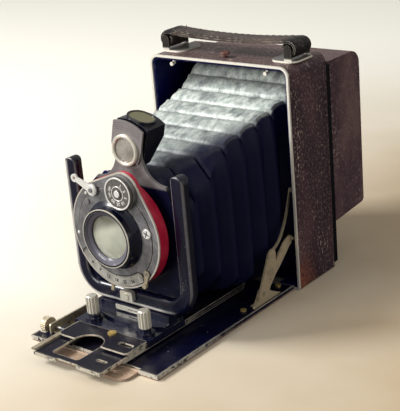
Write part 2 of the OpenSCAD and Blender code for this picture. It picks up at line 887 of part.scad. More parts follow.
module guide_outline(low) {
    lip_z = guide_top - 1.2;
    polygon([[guide_x, low], [guide_x + 2, low], [guide_x + 2, lip_z], [guide_x + 3.4, lip_z],
        [guide_x + 3.4, guide_top], [guide_x, guide_top]]);
}

module track_guides() {
    color("#6f6c66") both_sides() forward(18, bed_l - 3) guide_outline(bed_top);
}

// Half the section of the track's top sheet and its bright side skirt
module track_outline() {
    polygon([[-1, track_top - track_t], [track_hw - track_t, track_top - track_t],
        [track_hw - track_t, skirt_z], [track_hw, skirt_z], [track_hw, track_top], [-1, track_top]]);
}

// Half the section of the web and lip that hold the track down on its guides
module web_outline() {
    web_x = track_hw - 0.4;
    polygon([[guide_x + 2.4, flange_low], [web_x, flange_low], [web_x, track_top - 0.5],
        [web_x - 1.2, track_top - 0.5], [web_x - 1.2, flange_low + flange_lip],
        [guide_x + 2.4, flange_low + flange_lip]]);
}

module track() {
    color("#2c2b2d") difference() {
        union() {
            both_sides() forward(track_f0, track_f1) track_outline();
            both_sides() forward(track_f0, bed_l) web_outline();
            forward(track_f1 - 1, track_f1) translate([-track_hw, skirt_z])
                square([track_w, track_top - skirt_z + 0.3]);
        }
        upward(skirt_z - CUT, track_top + CUT) translate([0, -track_f1]) {
            plate_shape(slot_x - slot_w / 2, slot_x + slot_w / 2, 5.5, 35, slot_w / 4, 2);
            plate_shape(-8, 8, 43, track_l - 16, 6, 6);
            translate([slot_w / 2 + 7, 12]) slot_shape(6, 1);
            translate([-notch_w / 2, -CUT]) square([notch_w, CUT + 1.5]);
        }
    }
}

// Tooth flanks of the pinion: an involute from the base circle
base_r = pinion_r * cos(gear_angle);
tip_r = pinion_r + addendum;
root_r = pinion_r - dedendum;
tooth_half = (gear_pitch / 2 - backlash / 2) / 2 / pinion_r * 180 / PI;
base_half = tooth_half + tan(gear_angle) * 180 / PI - gear_angle;

function involute(roll) = let (turn = roll * 180 / PI)
    base_r * [cos(turn) + roll * sin(turn), sin(turn) - roll * cos(turn)];
function spun(p, a) = [p[0] * cos(a) - p[1] * sin(a), p[0] * sin(a) + p[1] * cos(a)];

module pinion_tooth() {
    last = sqrt(pow(tip_r / base_r, 2) - 1);
    steps = 5;
    flank = [for (i = [0:steps]) spun(involute(last * i / steps), -base_half)];
    mirrored = [for (i = [steps:-1:0]) [flank[i][0], -flank[i][1]]];
    foot = [for (s = [1, -1]) root_r * 0.9 * [cos(base_half), s * sin(base_half)]];
    polygon(concat([foot[1]], flank, mirrored, [foot[0]]));
}

module pinion_outline() {
    circle(root_r);
    for (i = [0:pinion_teeth - 1]) rotate(90 + i * 360 / pinion_teeth) pinion_tooth();
}

module pinion_shaft() {
    color("#b5ae9e") translate([0, -pinion_f, pinion_z]) {
        rod_x(shaft_r, knob_x0 - 0.3, -track_hw - 0.5);
        sideways(rack_x0 + 0.2, -track_hw - 0.5) pinion_outline();
    }
}

// One gap of the rack, drawn in Y and Z with its middle at y = 0
module rack_gap() {
    tip = rack_line - addendum;
    root = rack_line + dedendum;
    half = gear_pitch / 4 + backlash / 4;
    slope = tan(gear_angle);
    polygon([[-half - slope * (addendum + 0.2), tip - 0.2], [half + slope * (addendum + 0.2), tip - 0.2],
        [half - slope * dedendum, root], [-half + slope * dedendum, root]]);
}

module focus_rack() {
    reach = (rack_teeth / 2 + 0.5) * gear_pitch;
    middle = pinion_f + rack_lead;
    start = round((pinion_f - middle) / gear_pitch) - rack_teeth / 2;
    color("#a39d8f") difference() {
        union() {
            block(rack_x0, rack_x1, -track_f1 + 1.6, -track_f0 - 1, rack_line + dedendum, rack_top);
            block(rack_x0, rack_x1, -middle - reach, -middle + reach, rack_line - addendum, rack_top);
        }
        sideways(rack_x0 - CUT, rack_x1 + CUT) for (i = [0:rack_teeth])
            translate([-pinion_f + (start + i) * gear_pitch, 0]) rack_gap();
    }
}

module pinion_bracket() {
    color("#55524c") difference() {
        sideways(bracket_x1 - bracket_w, bracket_x1) translate([-pinion_f, 0])
            plate_shape(-3.4, 3.4, bed_top, pinion_z + 2.6, 2, 0.3);
        translate([0, -pinion_f, pinion_z])
            rod_x(shaft_r + pin_gap, bracket_x1 - bracket_w - CUT, bracket_x1 + CUT);
    }
}

module focus_knob() {
    color("#b3aea2") translate([0, -pinion_f, pinion_z]) difference() {
        union() {
            sideways(knob_x0, knob_x0 + knob_w) difference() {
                circle(knob_r);
                for (i = [0:knob_ridges - 1]) rotate(i * 360 / knob_ridges)
                    translate([knob_r + 0.15, 0]) circle(0.42, $fn = 16);
            }
            rod_x(2.2, knob_x0 + knob_w, scale_x - rest_gap);
        }
        rod_x(shaft_r + 0.01, knob_x0 - CUT, scale_x + CUT);
        rod_x(knob_r - 1.6, knob_x0 - CUT, knob_x0 + 0.6);
    }
}

module distance_scale() {
    foot_x = scale_x + scale_t;
    color("#9d9586") difference() {
        union() {
            sideways(scale_x, scale_x + scale_t)
                plate_shape(-scale_f1, -scale_f0, bed_top, scale_top, 1.5, 0.2);
            block(foot_x, foot_x + 3.2, -scale_f1 + 2, -scale_f0 - 2, bed_top, bed_top + 0.9);
        }
        translate([0, -pinion_f, pinion_z]) rod_x(shaft_r + pin_gap, scale_x - CUT, scale_x + scale_t + CUT);
        translate([0, -pinion_f, pinion_z]) rod_x(shaft_r + 0.6, scale_x + scale_t, scale_x + scale_t + 4);
    }
}

// Standard

module standard_base() {
    color("#131215") difference() {
        union() {
            block(-base_hw, base_hw, -base_f1 + 1, -base_f0, base_low, base_z1);
            block(-track_hw - 2, track_hw + 2, -base_f1, -base_f0, base_z1, base_z2);
            block(track_hw + slide_gap, track_hw + 2, -base_f1, -base_f0, flange_low + 2, base_z1);
            block(rack_x0 - 2, rack_x0 - slide_gap, -base_f1, -base_f0, rack_line - addendum, base_z1);
            block(rack_x0 - 2, -track_hw, -base_f1, -base_f0, base_z1, base_z2);
            upward(base_z2, foot_z) intersection() {
                union() {
                    translate([0, -arc_f + 60]) circle(60, $fn = 128);
                    both_sides() translate([grip_x, -grip_f]) circle(grip_r + 1.4);
                }
                translate([-track_hw - 1, -grip_f - 8]) square([2 * track_hw + 2, grip_f + 8 - base_f0]);
            }
            both_sides() upward(foot_z, seat_z) translate([grip_x - grip_travel / 2, -grip_f])
                slot_shape(grip_travel, grip_r - 0.6);
            block(-block_hw, block_hw, -stand_off - 1.5, -frame_f0 - 1, foot_z, frame_low);
        }
        both_sides() upward(base_z2 - 0.2, seat_z + CUT) translate([grip_x - grip_travel / 2, -grip_f])
            slot_shape(grip_travel, grip_stem_r + 0.15);
    }
}

// Plate on the front of the track that the standard's base comes up against
module stop_plate() {
    color("#151417") difference() {
        union() {
            upward(base_z1, base_z2) translate([0, -stop_f1])
                plate_shape(-track_hw - 1, track_hw + 1, 0, stop_f1 - stop_f0, 1, 3);
            both_sides() block(track_hw - 4, track_hw, -stop_f1 + 3, -stop_f0, track_top, base_z1);
        }
        upward(base_z1 - CUT, base_z2 + CUT) {
            translate([stop_notch_x, -stop_f1 - 1]) circle(slot_w / 2);
            translate([track_hw - 7, -stop_f1 + 9]) slot_shape(8, 1.6);
            translate([2.6, -stop_f0 - 3]) circle(1.3);
        }
    }
}

module stop_screw() {
    color("#b08d45") translate([2.6, -stop_f0 - 3, base_z1 - 0.6]) {
        cylinder(r = 1.25, h = base_z2 - base_z1 + 0.6);
        translate([0, 0, base_z2 - base_z1 + 0.6]) difference() {
            cylinder(r = 2.8, h = 1);
            translate([-3, -0.3, 0.5]) cube([6, 0.6, 1]);
        }
    }
}

module index_strip() {
    color("#c9c5bb") forward(stand_off + 1.5, stand_off + 2.1) difference() {
        translate([-15, frame_low - 3.6]) square([24, 3]);
        translate([0.5, frame_low - 2.1]) slot_shape(10, 0.5);
    }
}

module grip() {
    translate([0, -grip_f, 0]) {
        difference() {
            union() {
                translate([0, 0, seat_z + rest_gap]) cylinder(r = grip_r, h = grip_h - 0.8);
                translate([0, 0, seat_z + rest_gap + grip_h - 0.8])
                    cylinder(r1 = grip_r, r2 = grip_r - 0.8, h = 0.8);
            }
            for (i = [0:grip_flutes - 1]) rotate(i * 360 / grip_flutes)
                translate([grip_r + 0.35, 0, seat_z - CUT]) cylinder(r = 0.95, h = grip_h + 3, $fn = 24);
        }
        translate([0, 0, base_z2]) cylinder(r = grip_stem_r, h = seat_z + rest_gap - base_z2 + 0.5);
    }
}

module grip_right() {
    color("#c7c3b8") translate([grip_x, 0, 0]) grip();
}

module grip_left() {
    color("#c7c3b8") translate([-grip_x, 0, 0]) grip();
}

// Section of the front frame's bar of width w, its middle at x
module bar_section(x, w) {
    plate_shape(x - w / 2, x + w / 2, frame_f0, stand_off, frame_bar_r, frame_bar_r);
}

// Half of the front frame: an arm with a round top, a swept corner and half of the foot bar
module half_frame() {
    arm_x = frame_hw - arm_w / 2;
    corner_x = frame_hw - frame_r;
    corner_z = frame_low + frame_r;
    top_z = frame_top - arm_w / 2;
    mirror([0, 1, 0]) {
        intersection() {
            translate([0, 0, corner_z]) linear_extrude(height = frame_top - corner_z)
                bar_section(arm_x, arm_w);
            translate([0, frame_f0 - CUT, 0]) rotate([90, 0, 0]) mirror([0, 0, 1])
                linear_extrude(height = frame_t + 2 * CUT) union() {
                    translate([arm_x - arm_w / 2 - CUT, corner_z - CUT])
                        square([arm_w + 2 * CUT, top_z - corner_z + CUT]);
                    translate([arm_x, top_z]) circle(arm_w / 2);
                }
        }
        translate([corner_x, 0, corner_z]) rotate([-90, 0, 0]) rotate_extrude(angle = 90)
            bar_section(frame_r - arm_w / 2, arm_w);
        translate([0, 0, frame_low]) rotate([0, 90, 0]) linear_extrude(height = corner_x)
            bar_section(-arm_w / 2, arm_w);
    }
}

module front_frame() {
    color("#0f0e11") difference() {
        both_sides() half_frame();
        block(-groove_x, groove_x, -board_f1 - 0.3, -board_f0 + 0.3, board_low - 0.4, frame_top + CUT);
        disc(clamp_x, clamp_z, 1.2, board_f0, stand_off + CUT);
    }
}

module bellows_holder() {
    inner_r = 14;
    color("#1a191c") forward(holder_f0, frame_f0) difference() {
        plate_shape(-holder_hw, holder_hw, holder_low, holder_top, 1, holder_low_r);
        both_sides() polygon([[holder_hw - holder_slope - CUT, holder_top + CUT],
            [holder_hw + CUT, holder_top - holder_slope - CUT], [holder_hw + CUT, holder_top + CUT]]);
        plate_shape(-holder_hw + holder_side, holder_hw - holder_side, frame_in_low + holder_side,
            holder_top - holder_side + 3.5, inner_r, 2);
    }
}

module lens_board() {
    flare = neck_hw + neck_r - 0.01;
    color("#232225") difference() {
        forward(board_f0, board_f1) difference() {
            union() {
                polygon([[-board_hw, board_low], [board_hw, board_low],
                    [board_hw, board_top - board_shoulder], [finder_cx + flare, board_top],
                    [finder_cx - flare, board_top],
                    [-board_hw, board_top - board_shoulder]]);
                translate([finder_cx - flare, board_top - 0.01]) square([2 * flare, neck_r]);
                translate([finder_cx - neck_hw, board_top]) square([2 * neck_hw, finder_z - board_top]);
                translate([finder_cx, finder_z]) circle(neck_hw);
            }
            for (s = [-1, 1]) translate([finder_cx + s * flare, board_top + neck_r]) circle(neck_r);
        }
        disc(0, lens_z, tube_r + pin_gap, board_f0 - CUT, board_f1 + CUT);
        disc(finder_cx, finder_z, finder_tube_r + pin_gap, board_f0 - CUT, board_f1 + CUT);
    }
}

module rise_clamp() {
    color("#c8c3b5") {
        f0 = stand_off + rest_gap;
        forward(f0, f0 + 3) plate_shape(clamp_x - clamp_hw, clamp_x + clamp_hw, clamp_z - clamp_hh,
            clamp_z + clamp_hh, 1.4, 1.4);
        disc(clamp_x, clamp_z, 2.2, f0 + 3, f0 + 3.6);
        disc(clamp_x, clamp_z, 1.1, board_f1 + 0.6, f0);
    }
}

// Shutter

module drum_outline(inset) {
    lean = asin((drum_r - bulge_r) / dial_off);
    translate([0, lens_z]) {
        circle(drum_r - inset);
        rotate(-shutter_turn) {
            translate([0, dial_off]) circle(bulge_r - inset);
            polygon([for (s = [-1, 1]) for (e = s < 0 ? [0, 1] : [1, 0])
                let (r = (e == 0 ? drum_r : bulge_r) - inset - MEET)
                    [s * r * cos(lean), e * dial_off + r * sin(lean)]]);
        }
    }
}

module shutter_drum() {
    color("#8e1f24") difference() {
        union() {
            disc(0, lens_z, drum_r, drum_f0, drum_f1);
            forward(drum_f1 - bulge_t, drum_f1) drum_outline(0);
            disc(0, lens_z, mount_r, board_f1, drum_f0 + CUT);
        }
        disc(0, lens_z, tube_r + pin_gap, board_f1 - CUT, drum_f1 + CUT);
    }
}

module shutter_face() {
    color("#8a867d") difference() {
        union() {
            forward(drum_f1, face_f) drum_outline(face_rim + 0.05);
            disc(0, lens_z, inner_disc_r, face_f, disc_f);
            disc(dial_x, dial_z, dial_r + 0.6, face_f, collar_f);
            disc(mode_x, mode_z, 1.5, face_f, disc_f + 0.9);
            disc(emblem_x, emblem_z, 3.6, face_f, disc_f + 0.3);
            disc(cock_x, cock_z, 1.4, face_f, cock_f0 + 2.4);
            disc(release_x, release_z, 1, face_f, disc_f + 1.3);
        }
        disc(0, lens_z, tube_r + pin_gap, drum_f1 - CUT, disc_f + CUT);
        disc(0, lens_z, barrel_back_r + rest_gap, disc_f, collar_f + CUT);
        difference() {
            disc(0, lens_z, inner_disc_r + 0.9, face_f - 0.3, face_f + 0.01);
            disc(0, lens_z, inner_disc_r, face_f - 1, face_f + 1);
        }
        disc(dial_x, dial_z, 1.2 + pin_gap, drum_f1 - CUT, collar_f + CUT);
    }
}

module face_rim() {
    color("#cfcabd") difference() {
        forward(drum_f1, face_f + 0.2) drum_outline(0);
        forward(drum_f1 - CUT, face_f + CUT) drum_outline(face_rim);
    }
}

// A flat arc between two bearings round the lens axis
module arc_outline(r0, r1, a0, a1) {
    mid = (a0 + a1) / 2;
    half = (a1 - a0) / 2;
    reach = r1 * 1.5;
    translate([0, lens_z]) intersection() {
        difference() {
            circle(r1);
            circle(r0);
        }
        rotate(mid) polygon([[0, 0], reach * [cos(half), -sin(half)], [reach, 0],
            reach * [cos(half), sin(half)]]);
    }
}

module aperture_scale() {
    mid_r = (scale_r0 + scale_r1) / 2;
    half = (scale_r1 - scale_r0) / 2;
    color("#9b978e") {
        forward(disc_f, disc_f + 0.4) {
            arc_outline(scale_r0, scale_r1, scale_a0, scale_a1);
            for (a = [scale_a0, scale_a1]) translate([mid_r * cos(a), lens_z + mid_r * sin(a)]) circle(half);
        }
        disc(mid_r * cos(scale_a1), lens_z + mid_r * sin(scale_a1), 1.4, disc_f, disc_f + 0.9);
    }
}

// One length of the aperture's pointer, along its own radius
module pointer_bar(f0, f1, r0, r1) {
    forward(f0, f1) translate([0, lens_z]) rotate(aperture_at)
        translate([r0, -hook_w / 2]) square([r1 - r0, hook_w]);
}

// Ring behind the drum, with an arm that hooks forward over the drum's edge
module aperture_pointer() {
    color("#8f8b82") {
        forward(aperture_f0, aperture_f1) translate([0, lens_z]) difference() {
            circle(aperture_r1);
            circle(aperture_r0);
        }
        pointer_bar(aperture_f0, aperture_f1, aperture_r1 - 0.5, hook_r + hook_t);
        pointer_bar(aperture_f0, face_f, hook_r, hook_r + hook_t);
        pointer_bar(face_f - 1.2, face_f, hook_r, aperture_tip);
    }
}

module speed_dial() {
    color("#b9b6ad") {
        disc(dial_x, dial_z, dial_r, dial_f0, dial_f1);
        disc(dial_x, dial_z, 2.6, dial_f1, dial_f1 + 0.7);
        disc(dial_x, dial_z, 1.2, drum_f1 + 0.2, dial_f0);
        translate([dial_x, 0, dial_z]) for (i = [0:11]) rotate([0, i * 30, 0])
            block(-0.25, 0.25, -dial_f1 - 0.2, -dial_f1, dial_r - 2.6, dial_r - 0.8);
    }
}

module cocking_lever() {
    tip = cock_l * [cos(cock_turn), sin(cock_turn)];
    color("#e0ded6") translate([cock_x, 0, cock_z]) {
        forward(cock_f0, cock_f0 + 1.2) difference() {
            union() {
                circle(3.7);
                bar_shape([0, 0], tip, 2.6, 1.4);
                translate(tip) circle(2.5);
            }
            circle(1.4 + pin_gap);
            translate(tip) circle(1.1);
        }
        forward(cock_f0 + 1.2, cock_f0 + 1.7) difference() {
            circle(3);
            circle(1.4 + pin_gap);
        }
    }
}

module release_lever() {
    color("#b48c86") translate([release_x, 0, release_z]) {
        forward(disc_f + 0.3, disc_f + 1.1) difference() {
            union() {
                circle(2.2);
                bar_shape([0, 0], release_l * [cos(release_turn), sin(release_turn)], 1.6, 1.2);
            }
            circle(1 + pin_gap);
        }
        translate(release_l * [cos(release_turn), 0, sin(release_turn)])
            rod_y(1.6, -disc_f - 2.2, -disc_f - 0.3);
    }
}

// Iris leaves: crescents that lie over one another like the coils of a flat spring
module iris() {
    open_r = 8.5;
    leaf_t = 0.12;
    f0 = drum_f0 + 1;
    color("#2a292b") for (i = [0:iris_leaves - 1])
        forward(f0 + i * (leaf_t + 0.04), f0 + i * (leaf_t + 0.04) + leaf_t)
            translate([0, lens_z]) rotate(i * 360 / iris_leaves) intersection() {
                difference() {
                    circle(tube_r - 0.4);
                    translate([-4, 0]) circle(open_r + 4);
                }
                translate([0, -tube_r]) square([tube_r, 2 * tube_r]);
            }
}

// Lens

module lens_barrel() {
    color("#121114") turned(0, lens_z, [[tube_r, disc_f - inner_disc_t - face_t - 4], [tube_r, disc_f],
        [barrel_back_r, disc_f], [barrel_back_r, barrel_step_f], [barrel_r + 1.9, barrel_step_f + 0.9],
        [barrel_r + 0.8, ring_f - 5.4],
        [barrel_r, ring_f - 4.4], [barrel_r, ring_f - 0.5], [barrel_r - 0.5, ring_f],
        [barrel_r - 1.6, ring_f],
        [barrel_r - 2.6, ring_f - 1.6], [glass_r + 0.6, ring_f - 2.2], [glass_r - 0.5, ring_f - 3],
        [glass_r - 0.5, ring_f - 3.4], [glass_r + 0.05, ring_f - 3.4], [glass_r + 0.05, ring_f - 8],
        [glass_r - 1.4, ring_f - 9],
        [glass_r - 1.4, disc_f - inner_disc_t - face_t - 4]]);
}

// Outline of a lens surface: from its edge at radius r and forward distance f in to its axis
function dome(r, f, bulge, steps) = let (R = (r * r + bulge * bulge) / (2 * bulge))
    [for (i = [0:steps]) let (x = r * (1 - i / steps)) [x, f + sqrt(R * R - x * x) - (R - bulge)]];

module front_glass() {
    color([0.75, 0.8, 0.78, 0.6]) turned(0, lens_z, concat([[0, ring_f - 7.6], [glass_r, ring_f - 7.6],
        [glass_r, ring_f - 3.8]], dome(glass_r - 0.6, ring_f - 3.8, 2, 8)));
}

module rear_cell() {
    f0 = board_f0 - 4.2;
    color("#151417") turned(0, lens_z, [[tube_r - 5, f0], [tube_r - 1.5, f0], [tube_r - 1.5, board_f0 - 2],
        [tube_r + 3, board_f0 - 2], [tube_r + 3, board_f0], [tube_r, board_f0], [tube_r, drum_f0 + 0.4],
        [tube_r - 5, drum_f0 + 0.4]]);
}

// Finder, drawn upright round its own axis and then leaned

module finder_lean() {
    translate([finder_cx, 0, finder_z]) rotate([0, finder_lean, 0])
        translate([-finder_cx, 0, -finder_z]) children();
}

// Side outline of the finder box, in Y and Z
module finder_outline(inset) {
    y0 = -finder_f1 + inset;
    y1 = -finder_f0 - inset;
    top = finder_z + finder_top_h - inset * 2;
    low = finder_z - finder_low_h + inset * 1.4;
    polygon([[y0, low], [y0 + 2, low], [y1, top - 10], [y1, top], [y0, top]]);
}

// Front outline below the finder's dome, in X and Z
module finder_domed(inset) {
    hw = finder_w / 2;
    reach = finder_top_h + finder_low_h + CUT;
    dome_r = (hw * hw + finder_dome * finder_dome) / (2 * finder_dome);
    intersection() {
        translate([finder_cx - hw, finder_z - finder_low_h - CUT]) square([finder_w, reach]);
        translate([finder_cx, finder_z + finder_top_h - dome_r]) circle(dome_r - inset);
    }
}

module finder_plate() {
    hw = finder_w / 2;
    groove = 0.4;
    difference() {
        forward(board_f1 + rest_gap, finder_plate_f) {
            intersection() {
                finder_domed(0);
                translate([finder_cx, finder_z]) polygon([[-hw, 2], [-finder_ring_r, -6],
                    [finder_ring_r, -6], [hw, 2], [hw, finder_top_h], [-hw, finder_top_h]]);
            }
            translate([finder_cx, finder_z]) circle(finder_ring_r - 0.3);
        }
        for (i = [1:4]) forward(finder_plate_f - 0.3, finder_plate_f + CUT) intersection() {
            difference() {
                finder_domed(i * 1.3);
                finder_domed(i * 1.3 + groove);
            }
            translate([finder_cx - hw + 1, finder_z + finder_ring_r + 0.4]) square([finder_w - 2, hw]);
        }
    }
}

module finder_box() {
    hw = finder_w / 2;
    top = finder_z + finder_top_h;
    middle = -(finder_f0 + finder_f1) / 2;
    color("#1a1a1c") finder_lean() difference() {
        union() {
            intersection() {
                difference() {
                    sideways(finder_cx - hw, finder_cx + hw) finder_outline(0);
                    for (s = [-1, 1])
                        translate([finder_cx + s * hw, -finder_f1 - CUT, finder_z - finder_low_h])
                            rotate([0, 45, 0]) cube([7, 2 * finder_d, 7], center = true);
                }
                forward(finder_f0 - CUT, finder_f1 + CUT) finder_domed(0);
            }
            upward(top - 2.2, top + 0.5) translate([finder_cx, middle]) slot_shape(window_l, window_r + 1);
            disc(finder_cx, finder_z, finder_tube_r, finder_f1 - 1, finder_plate_f);
            finder_plate();
        }
        sideways(finder_cx - hw + finder_wall, finder_cx + hw - finder_wall) finder_outline(finder_wall * 2);
        disc(finder_cx, finder_z, finder_tube_r - 1.4, finder_f1 - 5, finder_ring_f);
        upward(finder_z + finder_ring_r, top + CUT) translate([finder_cx, middle])
            slot_shape(window_l, window_r);
    }
}

module finder_ring() {
    color("#c9c4b6") finder_lean() turned(finder_cx, finder_z, [[finder_tube_r - 0.5, finder_plate_f],
        [finder_ring_r, finder_plate_f], [finder_ring_r, finder_ring_f - 0.6],
        [finder_ring_r - 0.6, finder_ring_f], [finder_tube_r, finder_ring_f],
        [finder_tube_r - 0.5, finder_ring_f - 0.5]]);
}

// The finder's taking lens and its domed top window
module finder_glass() {
    top = finder_z + finder_top_h;
    color([0.7, 0.72, 0.6, 0.7]) finder_lean() {
        turned(finder_cx, finder_z, concat([[0, finder_plate_f], [finder_tube_r - 0.6, finder_plate_f]],
            dome(finder_tube_r - 0.6, finder_plate_f + 0.5, 1, 6)));
        upward(top - 1.6, top + 0.1) translate([finder_cx, -(finder_f0 + finder_f1) / 2])
            slot_shape(window_l, window_r - 0.1);
    }
}

// Bellows: rings of eight points, the top and bottom folds out of step with the side folds

function mix(a, b, t) = a + (b - a) * t;
function along(y) = (y + bellows_f1) / (bellows_y1 + bellows_f1);

// One ring at y: fold is 1 on a ridge of the top and bottom, and -1 in a valley
function ring(y, fold, inset) = let (
    t = along(y),
    hw = mix(front_hw, rear_hw, t) - pleat_d / 2 - inset,
    z0 = mix(front_z0, rear_z0, t) + pleat_d / 2 + inset,
    z1 = mix(front_z1, rear_z1, t) - pleat_d / 2 - inset,
    corner = mix(corner_front, corner_rear, t),
    d = pleat_d / 2,
    wx = hw - fold * d,
    wz = fold * d,
    cx = corner - fold * 3,
    cz = corner + fold * 3
) [[wx, y, z0 + cz], [wx, y, z1 - cz], [wx - cx, y, z1 + wz], [-wx + cx, y, z1 + wz],
    [-wx, y, z1 - cz], [-wx, y, z0 + cz], [-wx + cx, y, z0 - wz], [wx - cx, y, z0 - wz]];

module bellows(y0, y1, pleats) {
    rings = 2 * pleats;
    sides = 8;
    outer = [for (i = [0:rings]) each ring(mix(y0, y1, i / rings), i % 2 == 0 ? -1 : 1, 0)];
    inner = [for (i = [0:rings]) each ring(mix(y0, y1, i / rings), i % 2 == 0 ? -1 : 1, pleat_t * 1.3)];
    shift = len(outer);
    at = function(i, k) i * sides + k % sides;
    skin = [for (i = [0:rings - 1], k = [0:sides - 1]) each [
        [at(i, k), at(i, k + 1), at(i + 1, k + 1)], [at(i, k), at(i + 1, k + 1), at(i + 1, k)],
        [shift + at(i, k), shift + at(i + 1, k + 1), shift + at(i, k + 1)],
        [shift + at(i, k), shift + at(i + 1, k), shift + at(i + 1, k + 1)]]];
    ends = [for (k = [0:sides - 1]) each [
        [at(0, k), shift + at(0, k), shift + at(0, k + 1)], [at(0, k), shift + at(0, k + 1), at(0, k + 1)],
        [at(rings, k), shift + at(rings, k + 1), shift + at(rings, k)],
        [at(rings, k), at(rings, k + 1), shift + at(rings, k + 1)]]];
    polyhedron(points = concat(outer, inner), faces = concat(skin, ends));
}

module bellows_front() {
    color("#26272a") bellows(-bellows_f1, middle_y - 0.1, front_pleats);
}

module bellows_rear() {
    color("#222326") bellows(middle_y + 0.1, bellows_y1, rear_pleats);
}

body_shell();
body_covering();
front_rim();
bellows_rear_frame();
floor_rails();
back_rails();
focusing_back();
ground_glass();
hood_walls();
hood_lid();
release_button();
rim_studs();
handle_strap();
handle_lugs();
bed();
bed_covering();
bed_hinge();
bed_foot();
bed_strip();
bed_screws();
tripod_bushes();
strut_left();
strut_right();
strut_brackets();
strut_pins();
strut_springs();
track_guides();
track();
focus_rack();
pinion_shaft();
pinion_bracket();
focus_knob();
distance_scale();
standard_base();
stop_plate();
stop_screw();
index_strip();
grip_left();
grip_right();
front_frame();
bellows_holder();
bellows_front();
bellows_rear();
lens_board();
rise_clamp();
shutter_drum();
shutter_face();
face_rim();
aperture_scale();
aperture_pointer();
speed_dial();
cocking_lever();
release_lever();
iris();
lens_barrel();
front_glass();
rear_cell();
finder_box();
finder_ring();
finder_glass();
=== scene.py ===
"""Looks of the folding plate camera: finishes, bellows, strap, dial marks, stage and camera."""
import logging
import math
from dataclasses import dataclass, field
from enum import Enum

import bmesh
import bpy
from mathutils import Matrix, Vector


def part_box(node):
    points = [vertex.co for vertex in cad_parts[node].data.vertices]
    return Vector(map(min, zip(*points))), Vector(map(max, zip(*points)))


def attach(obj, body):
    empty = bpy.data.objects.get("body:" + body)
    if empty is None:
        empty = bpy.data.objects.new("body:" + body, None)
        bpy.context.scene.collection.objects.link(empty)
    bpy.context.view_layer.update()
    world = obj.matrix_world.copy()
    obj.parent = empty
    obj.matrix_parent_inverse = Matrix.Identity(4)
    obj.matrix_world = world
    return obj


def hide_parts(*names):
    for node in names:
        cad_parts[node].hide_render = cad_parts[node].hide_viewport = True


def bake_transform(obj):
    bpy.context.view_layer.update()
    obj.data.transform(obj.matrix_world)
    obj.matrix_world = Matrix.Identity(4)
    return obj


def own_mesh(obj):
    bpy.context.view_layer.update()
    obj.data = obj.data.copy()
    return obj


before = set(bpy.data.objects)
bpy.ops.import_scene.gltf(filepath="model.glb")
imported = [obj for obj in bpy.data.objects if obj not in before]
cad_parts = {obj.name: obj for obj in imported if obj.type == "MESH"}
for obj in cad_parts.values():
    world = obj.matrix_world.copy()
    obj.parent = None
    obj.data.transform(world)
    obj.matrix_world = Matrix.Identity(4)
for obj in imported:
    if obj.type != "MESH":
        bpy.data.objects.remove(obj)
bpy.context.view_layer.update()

LOG = logging.getLogger("camera")
FORWARD = Vector((0, -1, 0))
# Figures: their thickness, how much fatter than plain they are as a share of their height, and the
# steps in each of their curves
FIGURE_DEPTH = 0.00008
FIGURE_BOLD = 0.025
FIGURE_STEPS = 2
# A finishing bevel takes the edges sharper than this many degrees, in so many steps
BEVEL_FROM = 40
BEVEL_STEPS = 2
# Points nearer to each other than this, in metres, are one
SAME_POINT = 1e-6


def tone(code: str) -> tuple[float, float, float, float]:
    """Turn a screen colour such as 2a2030 into the linear colour that a shader takes.

    Args:
        code: Six hexadecimal digits.

    Returns:
        Linear red, green, blue and an alpha of 1.
    """
    parts = [int(code[i:i + 2], 16) / 255 for i in (0, 2, 4)]
    linear = [c / 12.92 if c <= 0.04045 else ((c + 0.055) / 1.055) ** 2.4 for c in parts]
    return (linear[0], linear[1], linear[2], 1.0)


class Wire:
    """A shader value that can be added, multiplied and so on in Python."""

    def __init__(self, bench: "Bench", socket: bpy.types.NodeSocket) -> None:
        """Keep the socket and the bench whose tree it belongs to."""
        self.bench = bench
        self.socket = socket

    def _math(self, operation: str, *values: "Wire | float") -> "Wire":
        """Add one Math node on the given values."""
        node = self.bench.node("ShaderNodeMath", {"operation": operation}, dict(enumerate(values)))
        return Wire(self.bench, node.outputs[0])

    def __add__(self, other: "Wire | float") -> "Wire":
        """Add."""
        return self._math("ADD", self, other)

    __radd__ = __add__

    def __sub__(self, other: "Wire | float") -> "Wire":
        """Subtract."""
        return self._math("SUBTRACT", self, other)

    def __rsub__(self, other: "Wire | float") -> "Wire":
        """Subtract this from a number."""
        return self._math("SUBTRACT", other, self)

    def __mul__(self, other: "Wire | float") -> "Wire":
        """Multiply."""
        return self._math("MULTIPLY", self, other)

    __rmul__ = __mul__

    def __pow__(self, other: "Wire | float") -> "Wire":
        """Raise to a power."""
        return self._math("POWER", self, other)

    def most(self, other: "Wire | float") -> "Wire":
        """Return the larger of two values."""
        return self._math("MAXIMUM", self, other)

    def size(self) -> "Wire":
        """Return the value without its sign."""
        return self._math("ABSOLUTE", self)

    def between(self, low: float, high: float) -> "Wire":
        """Map the span from low to high smoothly onto 0 to 1, clamped.

        Args:
            low: The value that becomes 0.
            high: The value that becomes 1.

        Returns:
            The mapped value.
        """
        if low > high:
            return 1.0 - self.between(high, low)
        settings = {"interpolation_type": "SMOOTHSTEP"}
        node = self.bench.node("ShaderNodeMapRange", settings, {0: self, 1: low, 2: high})
        return Wire(self.bench, node.outputs[0])


